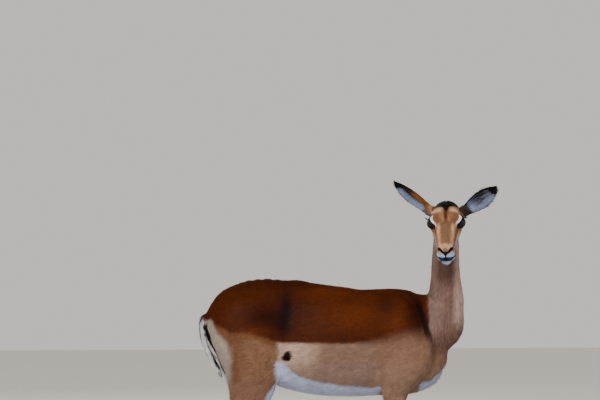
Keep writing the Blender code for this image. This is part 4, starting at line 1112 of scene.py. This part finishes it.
def hair_plan(p, n):
    """Tufts to the square metre, and the length, width and lift of each, at points of the skin."""
    x, y, z = p.T
    region = region_of(p)
    s, f, u = HEAD_AXES @ (p - HEAD_AT).T
    plan = np.tile((150e3, 0.0150, 0.0021, 0.0036), (len(p), 1))
    plan = blend(plan, tone(190e3, 0.0120, 0.0017, 0.0030), rise(z, 0.80, 0.90) * rise(x, 0.28, 0.32))
    under = (1 - rise(z - along_curve(x, BELLY_EDGE), -0.01, 0.03)) * rise(z, 0.44, 0.47)
    plan = blend(plan, tone(150e3, 0.0200, 0.0024, 0.0052), under)
    rump = rise(-x, 0.350, 0.385) * (1 - rise(z, 0.74, 0.76)) * rise(z, 0.50, 0.56)
    plan = blend(plan, tone(260e3, 0.0120, 0.0018, 0.0034), rump)
    plan = blend(plan, tone(230e3, 0.0085, 0.0014, 0.0020), rise(-z, -0.44, -0.34))
    plan = blend(plan, tone(330e3, 0.0055, 0.0011, 0.0013), rise(-z, -0.12, -0.04))
    gland = (1 - rise(np.abs(z - 0.150), 0.030, 0.040)) * rise(-x, 0.20, 0.22) * rise(-n[:, 0], 0.10, 0.40)
    plan = blend(plan, tone(500e3, 0.0200, 0.0018, 0.0070), gland)
    tail, share = tail_place(p)
    edge = 1 - rise(-n[:, 0], 0.30, 0.85)
    plan = blend(plan, tone(460e3, 0.0200, 0.0016, 0.0040), tail)
    plan[:, 3] += tail * edge * 0.002
    face = (region == 1).astype(float)
    plan = blend(plan, tone(520e3, 0.0060, 0.0011, 0.0016), face)
    plan = blend(plan, tone(900e3, 0.0032, 0.0008, 0.0007),
            face * np.maximum(rise(f, 0.09, 0.13), bell(f, 0.01, 0.03, 0.01) * rise(np.abs(s), 0.030, 0.036)))
    crown = face * (1 - rise(f, -0.05, -0.03)) * (u > 0.0)
    plan = blend(plan, tone(600e3, 0.0100, 0.0012, 0.0032), crown)
    throat = face * rise(-u, 0.03, 0.05) * (1 - rise(f, 0.03, 0.07))
    plan = blend(plan, tone(300e3, 0.0110, 0.0016, 0.0026), throat)
    for side, number in ((-1, 2), (1, 3)):
        share, across, out = ear_place(p, side)
        mine = (region == number).astype(float)
        plan = blend(plan, tone(520e3, 0.0060, 0.0011, 0.0010), mine)
        inside = mine * rise(n @ ear_front(side), 0.0, 0.3) * (share > 0.14)
        rim = np.interp(share, [r[0] for r in EAR], [r[1] for r in EAR])
        edge = rise(np.abs(across) / np.maximum(rim, 0.001), 0.40, 0.75)
        plan = blend(plan, tone(450e3, 0.0130, 0.0010, 0.0030), inside * edge * rise(share, 0.34, 0.46))
        plan = blend(plan, tone(620e3, 0.0042, 0.0010, 0.0014), inside * (1 - rise(share, 0.28, 0.40)))
    # bare places: the openings of the eyes, nostrils and mouth
    bare = np.zeros(len(p), bool)
    for side in (-1, 1):
        along, over, out = eye_axes(side) @ (p - eye_centre(side)).T
        opening = np.sqrt((along / LID_ALONG) ** 2 + (over / LID_OVER) ** 2)
        bare |= (opening < 1.22) & (out > 0) & (along ** 2 + over ** 2 + out ** 2 < 0.025 ** 2)
    path = curve_through(np.array(NOSTRIL)[:, [0, 2]], 4)
    front = (f > 0.125) & (region == 1)
    gap = np.full(len(p), 1.0)
    gap[front] = np.hypot(np.abs(s[front])[:, None] - path[None, :, 0], u[front][:, None] - path[None, :, 1]).min(1)
    bare |= (gap < 0.0050) | (front & (np.abs(s) < 0.0035) & (u < -0.016) & (u > -0.056))
    mouth = np.interp(np.abs(s), np.array(MOUTH)[:, 0], np.array(MOUTH)[:, 2])
    bare |= front & (np.abs(u - mouth) < 0.0035)
    bare |= z < 0.033
    plan[bare, 0] = 0
    return plan


def tuft_mesh(name, root, normal, way, length, width, lift, colour, uv):
    """One mesh of four-sided tufts: left, right and ridge at the root, one tip."""
    count = len(root)
    side = np.cross(normal, way)
    half = side * (width / 2)[:, None]
    sunk = root - normal * 0.0004
    ridge = sunk + normal * (width * 0.30 + 0.0003)[:, None] + way * (length * 0.10)[:, None]
    tip = root + way * length[:, None] + normal * lift[:, None]
    points = np.stack([sunk - half, sunk + half, ridge, tip], 1).reshape(-1, 3)
    first = (np.arange(count) * 4)[:, None]
    faces = (first + np.array([[0, 3, 2, 2, 3, 1, 1, 3, 0, 0, 2, 1]])).reshape(-1, 3)
    mesh = bpy.data.meshes.new(name)
    mesh.vertices.add(len(points))
    mesh.vertices.foreach_set("co", points.astype(np.float32).ravel())
    mesh.loops.add(faces.size)
    mesh.loops.foreach_set("vertex_index", faces.astype(np.int32).ravel())
    mesh.polygons.add(len(faces))
    mesh.polygons.foreach_set("loop_start", np.arange(len(faces), dtype=np.int32) * 3)
    mesh.update(calc_edges=True)
    # roots painted darker as shade down among the hairs, tips lighter
    shade = np.array([0.72, 0.72, 0.92, 1.14])[None, :, None]
    store_colour(mesh, np.clip(colour[:, None, :] * shade, 0, 1).reshape(-1, 3))
    offsets = np.array([(-0.0015, -0.0005), (0.0015, -0.0005), (0.0, -0.0010), (0.0, 0.0018)])
    spots = (uv[:, None, :] + offsets[None]).reshape(-1, 2)
    layer = mesh.uv_layers.new(name="OFBake")
    layer.data.foreach_set("uv", spots[faces.ravel()].astype(np.float32).ravel())
    lean = np.array([-0.45, 0.45, 0.0, 0.0])[None, :, None]
    normals = normal[:, None, :] + side[:, None, :] * lean
    normals = (normals / np.linalg.norm(normals, axis=2)[..., None]).reshape(-1, 3)
    mesh.shade_smooth()
    mesh.normals_split_custom_set_from_vertices(normals.tolist())
    return mesh


def grow_coat(mesh):
    """Roots, ways and sizes of the tufts, scattered over the skin as the plan says."""
    mesh.calc_loop_triangles()
    corners = np.zeros(len(mesh.loop_triangles) * 3, np.int32)
    mesh.loop_triangles.foreach_get("vertices", corners)
    corners = corners.reshape(-1, 3)
    points, normals = vertex_points(mesh), vertex_normals(mesh)
    a, b, c = (points[corners[:, k]] for k in range(3))
    area = np.linalg.norm(np.cross(b - a, c - a), axis=1) / 2
    middle = (a + b + c) / 3
    facing = normals[corners].mean(1)
    facing /= np.maximum(np.linalg.norm(facing, axis=1), 1e-9)[:, None]
    plan = hair_plan(middle, facing)
    wanted = area * plan[:, 0]
    count = np.floor(wanted + random.random(len(wanted))).astype(int)
    tri = np.repeat(np.arange(len(count)), count)
    r = np.sqrt(random.random(len(tri)))
    t = random.random(len(tri))
    share = np.stack([1 - r, r * (1 - t), r * t], 1)
    root = (points[corners[tri]] * share[..., None]).sum(1)
    normal = (normals[corners[tri]] * share[..., None]).sum(1)
    normal /= np.linalg.norm(normal, axis=1)[:, None]
    plan = hair_plan(root, normal)
    kept = plan[:, 0] > 0
    root, normal, plan = root[kept], normal[kept], plan[kept]
    way = lie_of_hair(root, normal)
    # locks: neighbours lean the same way, each a little off
    lean = 0.16 * np.sin(root @ np.array((61.0, 87.0, 73.0)) + 2.0 * np.sin(root @ np.array((31.0, -44.0, 52.0))))
    lean = lean + random.normal(0, 0.13, len(root))
    way = way * np.cos(lean)[:, None] + np.cross(normal, way) * np.sin(lean)[:, None]
    size = np.exp(random.normal(0, 0.18, len(root)))
    colour = coat_colour(root, normal)
    value = np.exp(random.normal(0, 0.13, len(root)))
    wave = root @ np.array(((47.0, 160.0, 95.0), (33.0, 70.0, 61.0), (88.0, 35.0, -74.0))).T
    value *= 1 + 0.07 * np.sin(wave[:, 0] * 2 + 2.5 * np.sin(wave[:, 2]) + 2.0 * np.sin(wave[:, 1]))
    colour = colour * value[:, None]
    lift = plan[:, 3] * random.uniform(0.35, 1.0, len(root))
    return [root, normal, way, plan[:, 1] * size, plan[:, 2] * np.sqrt(size), lift, colour, unwrap(root, normal)]


def long_hairs():
    """Lashes along the upper lids, whiskers on the lips and chin."""
    rows = []
    for side in (-1, 1):
        axes, centre = eye_axes(side), eye_centre(side)
        for turn in np.linspace(0.55, 1.02, 44) * math.pi:
            a, o = LID_ALONG * 1.10 * math.cos(turn), LID_OVER * 1.15 * math.sin(turn)
            root = centre + np.array((a, o, 0.0125 - 6 * a * a)) @ axes
            way = np.array((math.cos(turn) * 0.9, 0.15 + 0.12 * random.normal(), 0.90)) @ axes
            rows.append((root, way, axes[1], 0.0085 + 0.003 * random.random(), 0.0010, BLACK))
        for i in range(14):
            s, f, u = side * random.uniform(0.010, 0.026), random.uniform(0.120, 0.145), random.uniform(-0.045,
                    -0.028)
            way = np.array((side * 1.0, -0.1 + 0.4 * random.random(), -0.5 + 0.5 * random.random()))
            rows.append((on_head(s, f, u), way @ HEAD_AXES, HEAD_AXES[1], 0.012 + 0.010 * random.random(), 0.0003,
                    BLACK * 25))
    root, way, normal = (np.array([row[k] for row in rows]) for k in range(3))
    way /= np.linalg.norm(way, axis=1)[:, None]
    normal = normal - way * (normal * way).sum(1)[:, None]
    normal /= np.linalg.norm(normal, axis=1)[:, None]
    length, width = (np.array([row[k] for row in rows]) for k in (3, 4))
    colour = np.array([row[5] for row in rows])
    return [root, normal, way, length, width, 0 * length, colour, unwrap(root, normal)]


tufts = [np.concatenate(pair) for pair in zip(grow_coat(skin_mesh), long_hairs())]
order = np.lexsort((tufts[0][:, 2], tufts[0][:, 0]))
PIECE = 48000
hair = hair_material("coat", 0.55, 0.0, 2400.0)
total = len(order)
for number, start in enumerate(range(0, total, PIECE)):
    part = order[start:start + PIECE]
    piece = tuft_mesh(f"coat_{number + 1}", *[values[part] for values in tufts])
    piece.materials.append(hair)
    place(piece, f"coat_{number + 1}")

place(skin_mesh, "skin", FLESH)

# ---- eyes: dark brown iris round a level slot of a pupil, under a wet cornea ----------------------------
def eye_material():
    """Wet and near black: the iris comes from the globe's own colours, with fine specks in it."""
    made = bpy.data.materials.new("eye")
    made.use_nodes = True
    nodes, links = made.node_tree.nodes, made.node_tree.links
    shader = nodes["Principled BSDF"]
    iris, where, specks, tint = (nodes.new("ShaderNode" + kind) for kind in
                                 ("Attribute", "TexCoord", "TexNoise", "HueSaturation"))
    iris.attribute_name = "coat"
    specks.inputs["Scale"].default_value = 700.0
    specks.inputs["Detail"].default_value = 3.0
    level = nodes.new("ShaderNodeMapRange")
    level.inputs["To Min"].default_value, level.inputs["To Max"].default_value = 0.5, 1.5
    links.new(where.outputs["Object"], specks.inputs["Vector"])
    links.new(specks.outputs["Fac"], level.inputs["Value"])
    links.new(iris.outputs["Color"], tint.inputs["Color"])
    links.new(level.outputs["Result"], tint.inputs["Value"])
    links.new(tint.outputs["Color"], shader.inputs["Base Color"])
    shader.inputs["Roughness"].default_value = 0.07
    shader.inputs["Specular IOR Level"].default_value = 0.22
    return made


wet = eye_material()
for side, word in ((1, "left"), (-1, "right")):
    ball = bpy.data.meshes.new("globe_" + word)
    bm = bmesh.new()
    bmesh.ops.create_uvsphere(bm, u_segments=128, v_segments=96, radius=EYE_RADIUS)
    bm.to_mesh(ball)
    bm.free()
    # turned so that its pole looks out; the cornea swells a little over the iris
    q = vertex_points(ball)
    off = np.hypot(q[:, 0], q[:, 1])
    q[:, 2] += 0.0007 * np.clip(1 - (off / 0.0118) ** 2, 0, 1) * (q[:, 2] > 0)
    ball.vertices.foreach_set("co", q.astype(np.float32).ravel())
    ring = rise(off, 0.0100, 0.0116)
    rays = 1 + 0.35 * np.sin(23 * np.arctan2(q[:, 1], q[:, 0])) * bell(off, 0.0075, 0.0025, 0.001)
    colour = blend(tone(0.0080, 0.0035, 0.0020) * rays[:, None], np.tile(tone(0.002, 0.0015, 0.001), (len(q), 1)),
            ring)
    pupil = (np.abs(q[:, 0]) / 0.0072) ** 3 + (np.abs(q[:, 1]) / 0.0036) ** 3
    colour = blend(colour, BLACK, (1 - rise(pupil, 0.8, 1.2)) * (q[:, 2] > 0))
    store_colour(ball, np.clip(colour, 0.0005, 1))
    along, over, out = eye_axes(side)
    turn = Matrix(np.array([along, over, out]).T.tolist()).to_4x4()
    ball.transform(Matrix.Translation(Vector(eye_centre(side))) @ turn)
    ball.shade_smooth()
    ball.materials.append(wet)
    place(ball, "globe_" + word, ["eye_" + word])

# ---- claws: two smooth halves to each foot, ringed by growth, worn pale at the edge of the sole ----------
def horn_material():
    """Dark horn with level growth rings and a patchy, dusty edge at the ground."""
    made = bpy.data.materials.new("horn")
    made.use_nodes = True
    nodes, links = made.node_tree.nodes, made.node_tree.links
    shader = nodes["Principled BSDF"]
    where, shape, rings, grain = (nodes.new("ShaderNode" + kind) for kind in
                                  ("TexCoord", "Mapping", "TexNoise", "TexNoise"))
    shape.inputs["Scale"].default_value = (1.0, 1.0, 9.0)
    rings.inputs["Scale"].default_value, rings.inputs["Detail"].default_value = 60.0, 4.0
    grain.inputs["Scale"].default_value, grain.inputs["Detail"].default_value = 420.0, 4.0
    links.new(where.outputs["Object"], shape.inputs["Vector"])
    links.new(shape.outputs["Vector"], rings.inputs["Vector"])
    links.new(where.outputs["Object"], grain.inputs["Vector"])
    apart = nodes.new("ShaderNodeSeparateXYZ")
    links.new(where.outputs["Object"], apart.inputs["Vector"])
    worn = nodes.new("ShaderNodeMapRange")
    for key, value in (("From Min", 0.0), ("From Max", 0.009), ("To Min", 0.85), ("To Max", 0.0)):
        worn.inputs[key].default_value = value
    links.new(apart.outputs["Z"], worn.inputs["Value"])
    patchy = nodes.new("ShaderNodeMath")
    patchy.operation = "MULTIPLY"
    links.new(worn.outputs["Result"], patchy.inputs[0])
    links.new(grain.outputs["Fac"], patchy.inputs[1])
    dark = nodes.new("ShaderNodeMix")
    dark.data_type = "RGBA"
    dark.inputs["A"].default_value, dark.inputs["B"].default_value = (0.010, 0.008, 0.007, 1), (0.040, 0.032, 0.027,
            1)
    links.new(rings.outputs["Fac"], dark.inputs["Factor"])
    dusty = nodes.new("ShaderNodeMix")
    dusty.data_type = "RGBA"
    dusty.inputs["B"].default_value = (0.180, 0.140, 0.105, 1)
    links.new(patchy.outputs[0], dusty.inputs["Factor"])
    links.new(dark.outputs["Result"], dusty.inputs["A"])
    links.new(dusty.outputs["Result"], shader.inputs["Base Color"])
    bump = nodes.new("ShaderNodeBump")
    bump.inputs["Strength"].default_value, bump.inputs["Distance"].default_value = 0.45, 0.0006
    links.new(rings.outputs["Fac"], bump.inputs["Height"])
    links.new(bump.outputs["Normal"], shader.inputs["Normal"])
    shader.inputs["Roughness"].default_value = 0.48
    shader.inputs["Specular IOR Level"].default_value = 0.35
    return made


CLAW_ROWS = [(0.0, 0.91, 0.985), (0.0025, 0.985, 0.990), (0.006, 1.0, 0.955), (0.017, 0.97, 0.78),
             (0.027, 0.89, 0.59), (0.033, 0.78, 0.47), (0.037, 0.55, 0.34)]


def claw_mesh(name, x, y, outer):
    """Half of a cloven foot: flat sole, sloping pointed toe, upright heel, straighter inner wall."""
    rings = []
    for height, wide, toe in curve_through(CLAW_ROWS, 4):
        heel, length = x - 0.018 + height * 0.12, 0.056 * toe - height * 0.12
        swell = 1 + 0.010 * math.sin(height * 2 * math.pi / 0.0042)
        ring = []
        for i in range(40):
            turn = 2 * math.pi * i / 40
            along = 0.5 + 0.5 * math.cos(turn)
            taper = (1 - 0.45 * along ** 2) * wide * swell * 0.0105
            across = math.sin(turn)
            bow = across if across * outer > 0 else across * 0.82
            ring.append((heel + length * along, y + bow * taper - outer * 0.35 * taper * along ** 2,
                    max(height, 0.0)))
        rings.append(ring)
    bm = bmesh.new()
    made = [[bm.verts.new(point) for point in ring] for ring in rings]
    for low, high in zip(made, made[1:]):
        for i in range(40):
            bm.faces.new((low[i], low[(i + 1) % 40], high[(i + 1) % 40], high[i]))
    bm.faces.new(reversed(made[0]))
    bm.faces.new(made[-1])
    bmesh.ops.recalc_face_normals(bm, faces=bm.faces)
    mesh = bpy.data.meshes.new(name)
    bm.to_mesh(mesh)
    bm.free()
    mesh.shade_smooth()
    mesh.polygons[len(mesh.polygons) - 2].use_smooth = False
    return mesh


horn = horn_material()
for where, rows, ahead in (("fore", FORELEG, LEFT_FORE_STEP), ("hind", HINDLEG, LEFT_HIND_STEP)):
    for side, word in ((1, "left"), (-1, "right")):
        for outer, which in ((side, "outer"), (-side, "inner")):
            node = f"claw_{where}_{word}_{which}"
            low, high = (np.array(corner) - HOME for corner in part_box(node))
            claw = claw_mesh(node + "_horn", low[0] + 0.018, side * rows[-1][1] + outer * 0.0118, outer)
            claw.materials.append(horn)
            place(claw, node + "_horn", [node])

# ---- floor, lights and camera ---------------------------------------------------------------------------
floor_mesh = bpy.data.meshes.new("floor")
floor_mesh.from_pydata([(-9, -9, 0), (9, -9, 0), (9, 9, 0), (-9, 9, 0)], [], [(0, 1, 2, 3)])
floor = bpy.data.objects.new("floor", floor_mesh)
bpy.context.scene.collection.objects.link(floor)
plain = bpy.data.materials.new("floor")
plain.use_nodes = True
plain.node_tree.nodes["Principled BSDF"].inputs["Base Color"].default_value = (0.74, 0.70, 0.65, 1)
plain.node_tree.nodes["Principled BSDF"].inputs["Roughness"].default_value = 0.9
floor_mesh.materials.append(plain)

world = bpy.data.worlds.new("world")
world.use_nodes = True
world.node_tree.nodes["Background"].inputs["Color"].default_value = (0.90, 0.86, 0.82, 1)
world.node_tree.nodes["Background"].inputs["Strength"].default_value = 0.80
bpy.context.scene.world = world


def area_light(name, at, aim, size, power, tint):
    data = bpy.data.lights.new(name, "AREA")
    data.size, data.energy, data.color = size, power, tint
    lamp = bpy.data.objects.new(name, data)
    lamp.location = at
    lamp.rotation_euler = (Vector(aim) - Vector(at)).to_track_quat("-Z", "Y").to_euler()
    bpy.context.scene.collection.objects.link(lamp)


area_light("key", (-2.2, -5.0, 3.4), (0, 0, 0.75), 1.8, 300, (1.0, 0.97, 0.92))
area_light("fill", (4.8, -3.0, 2.0), (0, 0, 0.75), 3.0, 60, (0.90, 0.95, 1.0))
area_light("back", (-1.0, 5.0, 3.0), (0, 0, 0.75), 3.0, 70, (1.0, 0.98, 0.95))

AZIMUTH, ELEVATION, REACH = math.radians(-4), math.radians(2), 14.0
back = np.array([math.sin(AZIMUTH) * math.cos(ELEVATION), -math.cos(AZIMUTH) * math.cos(ELEVATION),
        math.sin(ELEVATION)])
aim = np.array([-0.1224, 0, 1.146]) + HOME
lens = bpy.data.cameras.new("camera")
lens.sensor_width, lens.lens = 36, 36 * REACH / 2.04
camera = bpy.data.objects.new("camera", lens)
camera.location = Vector(aim + back * REACH)
camera.rotation_euler = Vector(-back).to_track_quat("-Z", "Y").to_euler()
bpy.context.scene.collection.objects.link(camera)
bpy.context.scene.camera = camera
